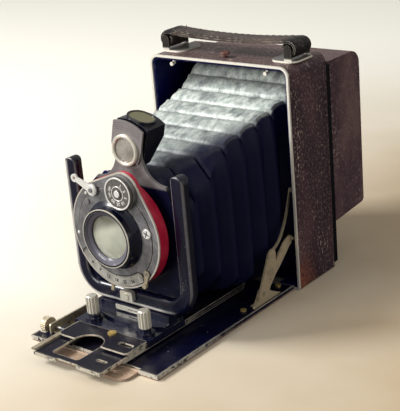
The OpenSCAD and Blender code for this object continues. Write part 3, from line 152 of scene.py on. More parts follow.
class Bench:
    """One material under construction: its node tree and the common patterns."""

    def __init__(self, name: str) -> None:
        """Make an empty material with an output and a Principled shader.

        Args:
            name: What the material is called after the word finish.
        """
        self.material = bpy.data.materials.new(f"finish_{name}")
        self.material.use_nodes = True
        self.tree = self.material.node_tree
        self.tree.nodes.clear()
        output = self.tree.nodes.new("ShaderNodeOutputMaterial")
        self.shader = self.node("ShaderNodeBsdfPrincipled", {}, {})
        self.tree.links.new(self.shader.outputs[0], output.inputs["Surface"])
        self._place: Wire | None = None

    def _join(self, node: bpy.types.Node, values: dict[object, object]) -> None:
        """Set or join sockets of a node.

        Args:
            node: The node.
            values: Values or wires by socket name or number.
        """
        for key, value in values.items():
            if isinstance(value, Wire):
                self.tree.links.new(value.socket, node.inputs[key])
            else:
                node.inputs[key].default_value = value

    def node(self, kind: str, settings: dict[str, object], inputs: dict[object, object]) -> bpy.types.Node:
        """Add a node, set it and join its sockets.

        Args:
            kind: The node's type.
            settings: Its own properties, set before its sockets.
            inputs: Values or wires by socket name or number.

        Returns:
            The new node.
        """
        made = self.tree.nodes.new(kind)
        for key, value in settings.items():
            setattr(made, key, value)
        self._join(made, inputs)
        return made

    def feed(self, values: dict[str, object]) -> None:
        """Set or join sockets of the Principled shader."""
        self._join(self.shader, values)

    def place(self) -> Wire:
        """Make or find the object coordinates.

        Returns:
            The coordinates, from one node for the whole material.
        """
        if self._place is None:
            self._place = Wire(self, self.node("ShaderNodeTexCoord", {}, {}).outputs["Object"])
        return self._place

    def axis(self, name: str, source: Wire | None = None) -> Wire:
        """Return one of x, y and z of a vector, the object coordinates if none is given."""
        parts = self.node("ShaderNodeSeparateXYZ", {}, {0: source or self.place()})
        return Wire(self, parts.outputs["XYZ".index(name.upper())])

    def normal(self) -> Wire:
        """Return the direction in which the surface faces."""
        return Wire(self, self.node("ShaderNodeNewGeometry", {}, {}).outputs["Normal"])

    def facing(self) -> Wire:
        """Return how far the surface faces up, from -1 to 1."""
        return self.axis("z", self.normal())

    def rounded(self, radius: float, samples: int) -> Wire:
        """Return the direction in which the surface faces, with its edges taken as rounded to a radius."""
        return Wire(self, self.node("ShaderNodeBevel", {"samples": samples}, {"Radius": radius}).outputs[0])

    def cosine(self, one: object, two: object) -> Wire:
        """Return the cosine of the angle between two directions."""
        dot = self.node("ShaderNodeVectorMath", {"operation": "DOT_PRODUCT"}, {0: one, 1: two})
        return Wire(self, dot.outputs["Value"])

    def edge(self, radius: float) -> Wire:
        """Return 1 on the piece's sharp edges, as far from them as the radius, and 0 on its flats."""
        return (1.0 - self.cosine(self.rounded(radius, samples=6), self.normal())).between(0.02, 0.22)

    def toward(self, radius: float, aim: tuple[float, float, float]) -> Wire:
        """Return the cosine between an aim and the surface, its edges taken as rounded to the radius."""
        return self.cosine(self.rounded(radius, samples=8), Vector(aim).normalized())

    def noise(self, size: float, detail: float = 3.0, rough: float = 0.55,
              stretch: tuple[float, float, float] = (1, 1, 1), shift: float = 0.0) -> Wire:
        """Return a noise from 0 to 1.

        Args:
            size: Width of its blotches in metres.
            detail: How many finer layers it has.
            rough: How strong they are.
            stretch: Scale along each axis. Below 1 the blotches are longer there.
            shift: Distance that sets it apart from other noises of its size.

        Returns:
            The noise.
        """
        moved = self.node("ShaderNodeMapping", {}, {"Vector": self.place(), "Scale": stretch,
                                                    "Location": (shift, shift, shift)})
        made = self.node("ShaderNodeTexNoise", {}, {"Vector": Wire(self, moved.outputs[0]),
                                                    "Scale": 1 / size, "Detail": detail, "Roughness": rough})
        return Wire(self, made.outputs[0])

    def pebbles(self, size: float, smooth: float) -> Wire:
        """Return a pattern of soft pebbles.

        Args:
            size: Width of a pebble in metres.
            smooth: How far neighbours run into each other.

        Returns:
            The pattern, 0 in the middle of each pebble.
        """
        made = self.node("ShaderNodeTexVoronoi", {"feature": "SMOOTH_F1"},
                         {"Vector": self.place(), "Scale": 1 / size, "Smoothness": smooth})
        return Wire(self, made.outputs["Distance"])

    def mix(self, share: Wire | float, low: object, high: object) -> Wire:
        """Mix two colours by a share."""
        node = self.node("ShaderNodeMix", {"data_type": "RGBA"}, {0: share, 6: low, 7: high})
        return Wire(self, node.outputs[2])

    def bump(self, height: Wire, depth: float, strength: float = 1.0, rounded: float = 0.0) -> None:
        """Feed a height map to the shader's normal.

        Args:
            height: The map, from 0 to 1.
            depth: What 1 stands for, in metres.
            strength: How strongly it shows.
            rounded: Radius that the piece's edges are shaded with, or 0 for none.
        """
        node = self.node("ShaderNodeBump", {}, {"Height": height, "Distance": depth, "Strength": strength})
        if rounded:
            self.tree.links.new(self.rounded(rounded, samples=12).socket, node.inputs["Normal"])
        self.feed({"Normal": Wire(self, node.outputs[0])})


@dataclass(frozen=True)
class Lacquer:
    """Gloss black or coloured lacquer on metal, with dust, faint scratches and edges worn to the metal.

    What lies in front of the place in ahead, below the height in under, or inside the circle in bore,
    given by x, z and radius, takes the colour named there. A bore has a dark band at each side of that
    colour, and glass_edge says where the inner band ends. Edges are shaded as if they had the radius in
    rounded, and painted highlights lie on them as pale lines where they turn to the light. The number in
    sides says how worn the upright faces are between the two places in worn_from. Faces that look up can
    be kept out of the colour in under, as painted shadow.
    """

    name: str
    colour: str
    dull: str
    # Colour of the worn edges, and of the painted highlight lines on rounded edges
    wear_and_highlight: str = "b9b4a6"
    gloss: float = 0.16
    worn: float = 0.5
    reach: float = 0.00035
    blotch: float = 0.012
    ahead: tuple[float, str] | None = None
    under: tuple[float, str] | None = None
    bore: tuple[float, float, float, str] | None = None
    glass_edge: tuple[float, float] = (0.0136, 0.0142)
    band: str = "12101c"
    rounded: float = 0.0
    # Colour of the painted highlight along the lowest outer edge
    foot: str = "dedad2"
    shine: float = 0.35
    sides: float = 0.0
    worn_from: tuple[float, float] = (-0.06, -0.125)
    # Faces that look up stay out of the colour in under, as painted shadow
    shaded_tops: bool = False

    def build(self) -> bpy.types.Material:
        """Make the material.

        Returns:
            The material.
        """
        b = Bench(self.name)
        cloud = b.noise(self.blotch, 4)
        fine = b.noise(0.0011, 3, 0.6)
        streak = b.noise(0.004, 3, 0.6, stretch=(1, 0.12, 1), shift=3.0)
        base = b.mix(cloud.between(0.42, 0.72), tone(self.colour), tone(self.dull))
        base = self._coloured(b, base)
        # Painted highlights along rounded edges
        if self.rounded:
            base = self._painted_highlights(b, base, streak)
        bare = self._bare(b)
        b.feed({
            "Base Color": b.mix(bare, base, tone(self.wear_and_highlight)),
            "Metallic": 0.6 * bare,
            "Roughness": self.gloss + 0.14 * cloud + 0.1 * streak + 0.16 * bare,
            "Coat Weight": self.shine * (0.9 - 0.9 * bare),
            "Coat Roughness": 0.1,
            "Specular IOR Level": self.shine,
        })
        b.bump(fine * 0.6 + streak * 0.4, 0.00003, 0.5, self.rounded)
        return b.material

    @staticmethod
    def _level(b: Bench) -> Wire:
        """Return 1 on faces that look up or down and 0 on upright ones."""
        return b.facing().size().between(0.5, 0.8)

    def _bare(self, b: Bench) -> Wire:
        """Return where the metal shows: worn edges, small chips and, near the front, upright faces.

        Args:
            b: The material's bench.

        Returns:
            The mask.
        """
        patches = b.noise(0.006, 4, 0.65, shift=7.0).between(0.62 - 0.5 * self.worn, 0.66)
        chips = b.noise(0.0022, 2, 0.5, shift=11.0).between(0.74, 0.78) * (0.5 * self.worn)
        bare = (b.edge(self.reach) * patches).most(chips)
        if self.sides:
            ragged = b.noise(0.004, 5, 0.7, shift=13.0).between(0.4, 0.5)
            near = b.axis("y").between(*self.worn_from)
            bare = bare.most((1.0 - self._level(b)) * ragged * self.sides * near)
        return bare

    def _coloured(self, b: Bench, base: Wire) -> Wire:
        """Lay the colours of ahead, under and bore over the lacquer.

        Args:
            b: The material's bench.
            base: The colour so far.

        Returns:
            The new colour.
        """
        if self.ahead:
            place, colour = self.ahead
            base = b.mix(b.axis("y").between(place + 0.0001, place), base, tone(colour))
        if self.under:
            height, colour = self.under
            low = b.axis("z").between(height + 0.002, height)
            # Painted shadow: faces that look up keep the lacquer's dark colour
            base = b.mix(low * (1.0 - 0.85 * self._level(b)) if self.shaded_tops else low, base, tone(colour))
        if self.bore:
            x, z, radius, colour = self.bore
            off = ((b.axis("x") - x) ** 2 + (b.axis("z") - z) ** 2) ** 0.5
            ring = off.between(radius - 0.0006, radius - 0.0011) * off.between(*self.glass_edge)
            inside = b.mix(ring, tone(self.band), tone(colour))
            base = b.mix(off.between(radius + 0.0002, radius), base, inside)
        return base

    def _painted_highlights(self, b: Bench, base: Wire, streak: Wire) -> Wire:
        """Paint highlights as pale lines where rounded edges turn to the light.

        Args:
            b: The material's bench.
            base: The colour so far.
            streak: What breaks the lines up.

        Returns:
            The new colour.
        """
        x, z = b.axis("x"), b.axis("z")
        # Painted highlights on the edges that turn towards each of these directions
        left = b.toward(self.rounded, (-0.75, -0.66, 0)).between(0.93, 0.985)
        top = b.toward(self.rounded, (0, -0.7, 0.7)).between(0.93, 0.985) * z.between(0.04, 0.06)
        right = b.toward(self.rounded, (0.6, -0.8, 0)).between(0.94, 0.99) * 0.3
        outer = b.toward(self.rounded, (-0.5, -0.86, 0)).between(0.9, 0.97)
        outer = outer.most(b.toward(self.rounded, (-0.3, -0.95, 0)).between(0.962, 0.985) * 0.8)
        line = left.most(top).most(right).most(outer * x.between(-0.03, -0.034))
        base = b.mix(line * (0.5 + 0.5 * streak), base, tone(self.wear_and_highlight))
        # Painted highlight along the lower outer edge of the bottom bar
        foot = b.toward(self.rounded, (0, -0.86, -0.5)).between(0.9, 0.97) * z.between(0.04, 0.034)
        return b.mix(foot * x.between(0.034, 0.02), base, tone(self.foot))


@dataclass(frozen=True)
class Plate:
    """Nickel, brass or steel, aged: tarnish blotches, rubbed bright parts and fine scratches."""

    name: str
    bright: str
    tarnish: str
    gloss: float = 0.2
    aged: float = 0.5
    grain: tuple[float, float, float] = (1, 1, 1)
    metal: float = 0.75

    def build(self) -> bpy.types.Material:
        """Make the material.

        Returns:
            The material.
        """
        b = Bench(self.name)
        cloud = b.noise(0.007, 5, 0.6)
        spots = b.noise(0.0012, 3, 0.6, shift=5.0)
        lines = b.noise(0.0007, 3, 0.7, stretch=self.grain, shift=2.0)
        age = cloud.between(0.62 - 0.3 * self.aged, 0.75).most(spots.between(0.66, 0.72) * self.aged)
        b.feed({
            "Base Color": b.mix(age, tone(self.bright), tone(self.tarnish)),
            "Metallic": self.metal - 0.3 * age,
            "Roughness": self.gloss + 0.25 * age + 0.12 * lines,
        })
        b.bump(lines * 0.5 + spots * 0.5, 0.00002, 0.4)
        return b.material


@dataclass(frozen=True)
class Grain:
    """Covering leather: pebbled grain, light flecks where its black has gone, and rubbed corners.

    Faces that look up may take the lighter colour in top, painted light on the tops, and what lies farther
    out than the place in ends may take the colour there. The number in low_wear says how rubbed the front's
    lowest corner is.
    """

    name: str
    colour: str
    warm: str
    fleck: str
    pebble: float = 0.0011
    flecked: float = 0.6
    rubbed: str = "9a5636"
    low_wear: float = 0.0
    edges: float = 0.0006
    top: str = ""
    ends: tuple[float, str] | None = None

    def build(self) -> bpy.types.Material:
        """Make the material.

        Returns:
            The material.
        """
        b = Bench(self.name)
        cloud = b.noise(0.03, 4, 0.6, stretch=(1, 1, 0.5))
        creases = b.noise(self.pebble * 0.8, 3, 0.6, shift=4.0)
        crowd = b.noise(0.014, 3, 0.6, stretch=(1, 1, 0.35), shift=9.0).between(0.5, 0.72)
        flecks = b.noise(0.0016, 3, 0.6, stretch=(1, 1, 0.7), shift=6.0).between(0.53, 0.64)
        flecks = flecks * (0.25 + 0.75 * crowd)
        base = b.mix(cloud.between(0.35, 0.7), tone(self.colour), tone(self.warm))
        # Painted light: faces that look up are lighter
        if self.top:
            base = b.mix(b.facing().between(0.5, 0.9) * 0.8, base, tone(self.top))
        if self.ends:
            place, colour = self.ends
            base = b.mix(b.axis("x").size().between(place - 0.006, place), base, tone(colour))
        base = b.mix(flecks * self.flecked, base, tone(self.fleck))
        b.feed({
            "Base Color": b.mix(self._rub(b) * 0.9, base, tone(self.rubbed)),
            "Roughness": 0.44 + 0.2 * creases - 0.12 * cloud,
            "Coat Weight": 0.06,
            "Coat Roughness": 0.3,
            "Specular IOR Level": 0.3,
        })
        b.bump(b.pebbles(self.pebble, 0.4) * 0.7 + creases * 0.3, 0.0004, 1.0)
        return b.material

    def _rub(self, b: Bench) -> Wire:
        """Return where the leather is rubbed: along its edges and at the front's lowest corner.

        Args:
            b: The material's bench.

        Returns:
            The mask.
        """
        along = b.edge(self.edges) * b.noise(0.008, 4, 0.7, shift=1.0).between(0.42, 0.6)
        corner = b.axis("z").between(0.03, 0.0) * b.axis("y").between(0.025, 0.0) * self.low_wear
        return along.most(corner * b.noise(0.003, 3, 0.7, shift=12.0).between(0.32, 0.54))


@dataclass(frozen=True)
class FoldedCloth:
    """Thin bellows leather: black, with creases, and a painted sheen, grey and pale, on its upper folds.

    The painted sheen stands for light on the flat tops of the folds, weaker towards the front. It fades
    to the right of a line that moves out by the distance in spread towards the rear, and it gives way to
    painted shade where the case and the front frame shade the folds.
    """

    name: str
    colour: str = "090c30"
    other: str = "101332"
    # Colours of the painted sheen
    grey: str = "a9b3ae"
    light: str = "dbe2db"
    front_to_rear: tuple[float, float] = (-0.08, 0.01)
    spread: float = 0.036
    right_shade: tuple[float, float] = (0.022, -0.004)
    case_shade: tuple[float, float] = (0.0345, 0.0295)
    frame_shade: tuple[float, float] = (-0.0785, -0.073)

    def build(self) -> bpy.types.Material:
        """Make the material.

        Returns:
            The material.
        """
        b = Bench(self.name)
        crease = b.noise(0.004, 4, 0.7, stretch=(1, 0.6, 1), shift=3.0)
        blotch = b.noise(0.014, 4, 0.6)
        sheen = self._painted_sheen(b, blotch)
        dull = b.mix(blotch.between(0.4, 0.7), tone(self.colour), tone(self.other))
        # The painted sheen's colours, standing for light on the fold tops
        grey = b.mix(crease.between(0.35, 0.65), tone(self.grey), tone(self.light))
        b.feed({
            "Base Color": b.mix(sheen, dull, grey),
            "Roughness": 0.45 + 0.2 * crease - 0.15 * sheen,
            "Coat Weight": 0.2 * sheen,
            "Coat Roughness": 0.25,
            "Specular IOR Level": 0.2,
        })
        b.bump(crease * 0.7 + b.noise(0.0007, 3) * 0.3, 0.00025, 0.7)
        return b.material

    def _painted_sheen(self, b: Bench, blotch: Wire) -> Wire:
        """Return where the painted sheen lies: light painted onto the tops of the folds.

        Args:
            b: The material's bench.
            blotch: The noise that makes the sheen uneven.

        Returns:
            The mask.
        """
        fold = Wire(b, b.node("ShaderNodeAttribute", {"attribute_name": "fold"}, {}).outputs["Fac"])
        flat = Wire(b, b.node("ShaderNodeAttribute", {"attribute_name": "flat"}, {}).outputs["Fac"])
        tops = b.facing().between(-0.1, 0.2) * flat.between(0.35, 0.75) * fold.between(0.5, 0.74)
        y = b.axis("y")
        # Painted shade: the sheen is weaker towards the front and fades to the right, away from the light
        rear = y.between(*self.front_to_rear)
        shade = (b.axis("x") - self.spread * rear).between(*self.right_shade)
        # Painted shade: no sheen where the case and the front frame shade the folds
        shade = shade * y.between(*self.case_shade) * y.between(*self.frame_shade)
        streaks = b.noise(0.005, 4, 0.65, stretch=(1, 0.22, 1), shift=8.0).between(0.3, 0.52)
        uneven = (0.5 + 0.5 * blotch.between(0.32, 0.52)) * (0.6 + 0.4 * streaks)
        return tops * (0.46 + 0.54 * rear) * uneven * (0.1 + 0.9 * shade)


@dataclass(frozen=True)
class Matt:
    """Dull paint, such as the shutter's grey face, with rubbed patches and dark specks."""

    name: str
    colour: str
    other: str
    speck: str = "2a2626"
    rubbed: str = "cfc9bb"
    gloss: float = 0.42
    metal: float = 0.35
    worn: float = 0.7

    def build(self) -> bpy.types.Material:
        """Make the material.

        Returns:
            The material.
        """
        b = Bench(self.name)
        cloud = b.noise(0.005, 5, 0.65)
        specks = b.noise(0.0009, 3, 0.6, shift=8.0).between(0.64, 0.7)
        rub = b.edge(0.0004)
        base = b.mix(cloud.between(0.36, 0.66), tone(self.colour), tone(self.other))
        base = b.mix(specks * 0.7, base, tone(self.speck))
        b.feed({
            "Base Color": b.mix(rub * self.worn, base, tone(self.rubbed)),
            "Metallic": self.metal * (1.0 - 0.5 * cloud),
            "Roughness": self.gloss + 0.2 * cloud - 0.1 * rub,
        })
        b.bump(specks * 0.6 + cloud * 0.4, 0.00003, 0.5)
        return b.material


@dataclass(frozen=True)
class Glass:
    """Lens glass or a window: a tinted, shining skin over a faint body.

    What lies above the height in above takes the colour named there. Between the two heights given for
    the painted reflection, on a slant, the glass goes over to its pale second colour, lighter towards the
    bottom.
    """

    name: str
    colour: str
    haze_and_reflection: str
    clear: float
    gloss: float = 0.04
    above: tuple[float, str] | None = None
    reflection_slant: tuple[float, float] | None = None

    def build(self) -> bpy.types.Material:
        """Make the material.

        Returns:
            The material.
        """
        b = Bench(self.name)
        haze_and_reflection = b.noise(0.009, 3)
        share = haze_and_reflection.between(0.2, 0.8)
        # Painted reflection: the glass is lighter towards the bottom, on a slant
        if self.reflection_slant:
            share = share * 0.35 + 0.75 * (b.axis("z") - 0.4 * b.axis("x")).between(*self.reflection_slant)
        base = b.mix(share, tone(self.colour), tone(self.haze_and_reflection))
        if self.above:
            height, colour = self.above
            base = b.mix(b.axis("z").between(height, height + 0.001), base, tone(colour))
        b.feed({
            "Base Color": base,
            "Roughness": self.gloss + 0.05 * haze_and_reflection,
            "Alpha": 1.0 - self.clear,
            "Coat Weight": 1.0,
            "Coat Roughness": 0.03,
        })
        return b.material


class Look(Enum):
    """Every finish by the name that its pieces ask for."""

    BLACK = Lacquer("black_lacquer", "080a24", "0e1028", gloss=0.12, worn=0.2)
    # The front frame's pale edge lines are painted highlights
    FRAME = Lacquer("frame_lacquer", "07091f", "0e1026", wear_and_highlight="b4b0ac", gloss=0.14, worn=0.4, rounded=0.003)
    BARREL = Lacquer("barrel_lacquer", "080a1e", "0e1026", gloss=0.14, worn=0.3,
                     bore=(0.0, 0.0694, 0.0178, "5e5c66"))
    # The lug plates are pale below under, their tops kept dark as painted shadow of the strap loops
    LUG = Lacquer("lug_lacquer", "1a1614", "2a2420", wear_and_highlight="b0a898", gloss=0.25, worn=0.6,
                  under=(0.1512, "e2dccf"), shaded_tops=True)
    FINDER = Lacquer("finder_lacquer", "080a1c", "12121e", gloss=0.14, worn=0.45, ahead=(-0.0959, "7a7474"))
    BOARD = Lacquer("board_lacquer", "6c6868", "8a8686", wear_and_highlight="cfc6bc", gloss=0.26, worn=0.3,
                    under=(0.0972, "070a24"), shine=0.1)
    BED = Lacquer("bed_lacquer", "050720", "0d0e27", wear_and_highlight="f0e8d8", gloss=0.2, worn=1.0, reach=0.0013,
                  shine=0.2, sides=1.0)
    TRACK = Lacquer("track_lacquer", "0a0a1a", "1a1722", wear_and_highlight="e9dfcb", gloss=0.24, worn=0.95, reach=0.0011,
                    shine=0.16, sides=0.9)
    CASE = Lacquer("case_lacquer", "0a0a12", "101018", gloss=0.4, worn=0.15, shine=0.1,
                   ahead=(0.0375, "030944"))
    RED = Lacquer("red_lacquer", "b01436", "c42040", wear_and_highlight="d08a86", gloss=0.24, worn=0.25, blotch=0.006)
    # Both leathers are lighter on faces that look up: painted light
    LEATHER = Grain("covering_leather", "30202c", "563c42", "ccb6a6", low_wear=0.9, flecked=0.9, top="5c4a48")
    HOOD = Grain("hood_leather", "48323e", "765c5c", "b8a498", flecked=0.6, top="5c4a48")
    STRAP = Grain("strap_leather", "342a28", "524540", "b0a294", pebble=0.0014, flecked=0.6, rubbed="c4b8a6",
                  edges=0.0009, ends=(0.0475, "100c10"))
    BROWN = Grain("foot_leather", "a8927c", "c4b29c", "d8ccba", pebble=0.0009, flecked=0.5, low_wear=0.3)
    # Its grey sheen on the upper folds is painted light
    CLOTH = FoldedCloth("bellows_leather")
    NICKEL = Plate("nickel_plate", "ebe7d8", "b0a896", gloss=0.24, aged=0.3, grain=(1, 1, 0.2), metal=0.6)
    DULL_NICKEL = Plate("dull_nickel", "c2b79f", "7d705c", gloss=0.3, aged=0.8, metal=0.65)
    RIM = Plate("rim_plate", "fbf6ea", "cfc4b0", gloss=0.26, aged=0.3, metal=0.45)
    FACE_RIM = Plate("face_rim_plate", "d6cfc4", "8f8980", gloss=0.3, aged=0.6, metal=0.5)
    BRASS = Plate("old_brass", "d8bd78", "7d6a3c", gloss=0.28, aged=0.5)
    STRUT = Plate("strut_plate", "d6c4a4", "92826a", gloss=0.3, aged=0.6, metal=0.45)
    STEEL = Plate("plain_steel", "8c8980", "4b4842", gloss=0.34, aged=0.6)
    DARK = Plate("dark_steel", "3a3a40", "24242a", gloss=0.3, aged=0.5)
    SILVER = Plate("silvered", "fbf9f4", "cfc8bc", gloss=0.24, aged=0.3, metal=0.5)
    DIAL = Plate("dial_plate", "75716d", "46423f", gloss=0.26, aged=0.6, metal=0.5)
    FACE = Matt("grey_face", "5f5e60", "7b7a7c")
    SCALE = Matt("scale_plate", "908e87", "b0ada4", gloss=0.36, metal=0.45)
    BUTTON = Matt("worn_button", "56322c", "785048", gloss=0.4, metal=0.2)
    MARKS = Matt("mark_paint", "17161a", "242226", gloss=0.5, metal=0.0, worn=0.0)
    # The lens glass's lighter lower part is a painted reflection
    LENS = Glass("lens_glass", "6c6a5e", "c0c2b2", 0.14, reflection_slant=(0.0795, 0.0725))
    FINDER_LENS = Glass("finder_lens", "6e665c", "aaa69c", 0.2, above=(0.1285, "74704a"))
    SCREEN = Glass("ground_glass", "c9d2d0", "dfe1d8", 0.15, gloss=0.5)

    def paint(self) -> bpy.types.Material:
        """Make this finish's material on first use.

        Returns:
            The material, the same one each time.
        """
        if self not in PAINTED:
            PAINTED[self] = self.value.build()
        return PAINTED[self]


PAINTED: dict[Look, bpy.types.Material] = {}

NODE_LOOKS = {
    Look.LEATHER: ["body_covering", "bed_covering"],
    Look.HOOD: ["hood_walls", "hood_lid", "focusing_back"],
    Look.CASE: ["body_shell", "bellows_rear_frame", "floor_rails", "bellows_holder", "back_rails"],
    Look.BLACK: ["standard_base", "rear_cell"],
    Look.FRAME: ["front_frame"],
    Look.BARREL: ["lens_barrel"],
    Look.LUG: ["handle_lugs"],
    Look.FINDER: ["finder_box"],
    Look.BOARD: ["lens_board"],
    Look.BED: ["bed"],
    Look.TRACK: ["track", "stop_plate", "bed_strip"],
    Look.RED: ["shutter_drum"],
    Look.BROWN: ["bed_foot"],
    Look.RIM: ["front_rim", "rim_studs"],
    Look.FACE_RIM: ["face_rim"],
    Look.NICKEL: ["grip_left", "grip_right", "finder_ring", "rise_clamp", "index_strip"],
    Look.SILVER: ["cocking_lever"],
    Look.DULL_NICKEL: ["distance_scale", "release_lever", "aperture_pointer", "strut_springs", "strut_pins",
                       "tripod_bushes", "focus_rack", "focus_knob"],
    Look.DIAL: ["speed_dial"],
    Look.BRASS: ["bed_screws", "stop_screw"],
    Look.STRUT: ["strut_left", "strut_right", "strut_brackets"],
    Look.STEEL: ["bed_hinge", "track_guides", "pinion_shaft"],
    Look.DARK: ["pinion_bracket", "iris"],
    Look.FACE: ["shutter_face"],
    Look.SCALE: ["aperture_scale"],
    Look.BUTTON: ["release_button"],
    Look.LENS: ["front_glass"],
    Look.FINDER_LENS: ["finder_glass"],
    Look.SCREEN: ["ground_glass"],
}


def finish_node(name: str, look: Look) -> None:
    """Give a CAD node its material.

    Args:
        name: The node's name.
        look: Its finish.
    """
    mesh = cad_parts[name].data
    mesh.materials.clear()
    mesh.materials.append(look.paint())


class Shop:
    """Makes finished objects out of bmesh shapes."""

    @staticmethod
    def piece(name: str, shape: bmesh.types.BMesh, look: Look, body: str | None, smooth: float = 35.0,
              bevel: float = 0.0, slot: str | None = None) -> bpy.types.Object:
        """Turn a bmesh into a piece of the object.

        Args:
            name: The piece's name.
            shape: Its shape, in metres and in place. It is freed here.
            look: Its finish.
            body: The CAD body that it rides on, or None if it is tied later.
            smooth: Edges sharper than this many degrees stay sharp.
            bevel: Width of a finishing bevel in metres, or 0 for none.
            slot: Not used.

        Returns:
            The new object.
        """
        bmesh.ops.recalc_face_normals(shape, faces=shape.faces[:])
        for face in shape.faces:
            face.smooth = True
        for line in shape.edges:
            if len(line.link_faces) == 2 and line.calc_face_angle(0.0) > math.radians(smooth):
                line.smooth = False
        mesh = bpy.data.meshes.new(name)
        shape.to_mesh(mesh)
        shape.free()
        made = bpy.data.objects.new(name, mesh)
        bpy.context.scene.collection.objects.link(made)
        mesh.materials.append(look.paint())
        if bevel:
            cut = made.modifiers.new("edges", "BEVEL")
            cut.width = bevel
            cut.segments = BEVEL_STEPS
            cut.limit_method = "ANGLE"
            cut.angle_limit = math.radians(BEVEL_FROM)
        if body:
            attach(made, body)
        LOG.info("%s: %d faces", name, len(mesh.polygons))
        return made

    @staticmethod
    def rod(shape: bmesh.types.BMesh, radius: float, top: float, depth: float, spot: Matrix,
            sides: int) -> None:
        """Add a closed rod or cone along its own Z to a bmesh.

        Args:
            shape: The bmesh that takes it.
            radius: Its radius at the low end.
            top: Its radius at the high end.
            depth: Its length.
            spot: Where its middle goes.
            sides: Number of sides.
        """
        bmesh.ops.create_cone(shape, cap_ends=True, segments=sides, radius1=radius, radius2=top, depth=depth,
                              matrix=spot)

    @staticmethod
    def block(shape: bmesh.types.BMesh, size: tuple[float, float, float], spot: Matrix) -> None:
        """Add a box of the given size to a bmesh, middle at the origin of spot."""
        bmesh.ops.create_cube(shape, size=1.0, matrix=spot @ Matrix.Diagonal((*size, 1.0)))

    @staticmethod
    def ring(shape: bmesh.types.BMesh, outline: list[tuple[float, float]], centre: Vector, axis: Vector,
             steps: int) -> None:
        """Turn a closed outline round an axis.

        Args:
            shape: The bmesh that takes the ring.
            outline: Points as radius and distance along the axis, in metres.
            centre: A point of the axis.
            axis: The axis.
            steps: Number of steps round.
        """
        across = axis.orthogonal().normalized()
        corners = [shape.verts.new(centre + across * r + axis * h) for r, h in outline]
        count = len(corners)
        lines = [shape.edges.new((corners[i], corners[(i + 1) % count])) for i in range(count)]
        bmesh.ops.spin(shape, geom=corners + lines, cent=centre, axis=axis, angle=2 * math.pi, steps=steps,
                       use_merge=True, use_duplicate=False)
        bmesh.ops.remove_doubles(shape, verts=shape.verts[:], dist=SAME_POINT)

    @staticmethod
    def writing(shape: bmesh.types.BMesh, text: str, size: float, spot: Matrix) -> None:
        """Add plain characters, lying in the XY plane of spot, to a bmesh.

        Args:
            shape: The bmesh that takes the characters.
            text: The characters.
            size: Their height in metres.
            spot: Where their middle goes.
        """
        curve = bpy.data.curves.new("figures", "FONT")
        curve.body = text
        curve.size = size
        curve.align_x = "CENTER"
        curve.align_y = "CENTER"
        curve.extrude = FIGURE_DEPTH / 2
        curve.offset = FIGURE_BOLD * size
        curve.resolution_u = FIGURE_STEPS
        made = bpy.data.objects.new("figures", curve)
        bpy.context.scene.collection.objects.link(made)
        bpy.context.view_layer.update()
        mesh = bpy.data.meshes.new_from_object(made)
        mesh.transform(spot)
        shape.from_mesh(mesh)
        bpy.data.objects.remove(made)
        bpy.data.meshes.remove(mesh)
        bpy.data.curves.remove(curve)


def on_front(x: float, y: float, z: float, turn: float = 0.0) -> Matrix:
    """Return the place of something that faces forward.

    Args:
        x: Its middle's place across.
        y: Its middle's place from front to back.
        z: Its middle's height.
        turn: Its turn clockwise as seen from in front, in degrees.

    Returns:
        The place.
    """
    upright = Matrix.Rotation(math.radians(90), 4, "X")
    return Matrix.Translation((x, y, z)) @ Matrix.Rotation(math.radians(turn), 4, "Y") @ upright


def outward(degrees: float) -> Vector:
    """Return the direction at an angle in the upright plane, counted from X towards Z."""
    a = math.radians(degrees)
    return Vector((math.cos(a), 0, math.sin(a)))


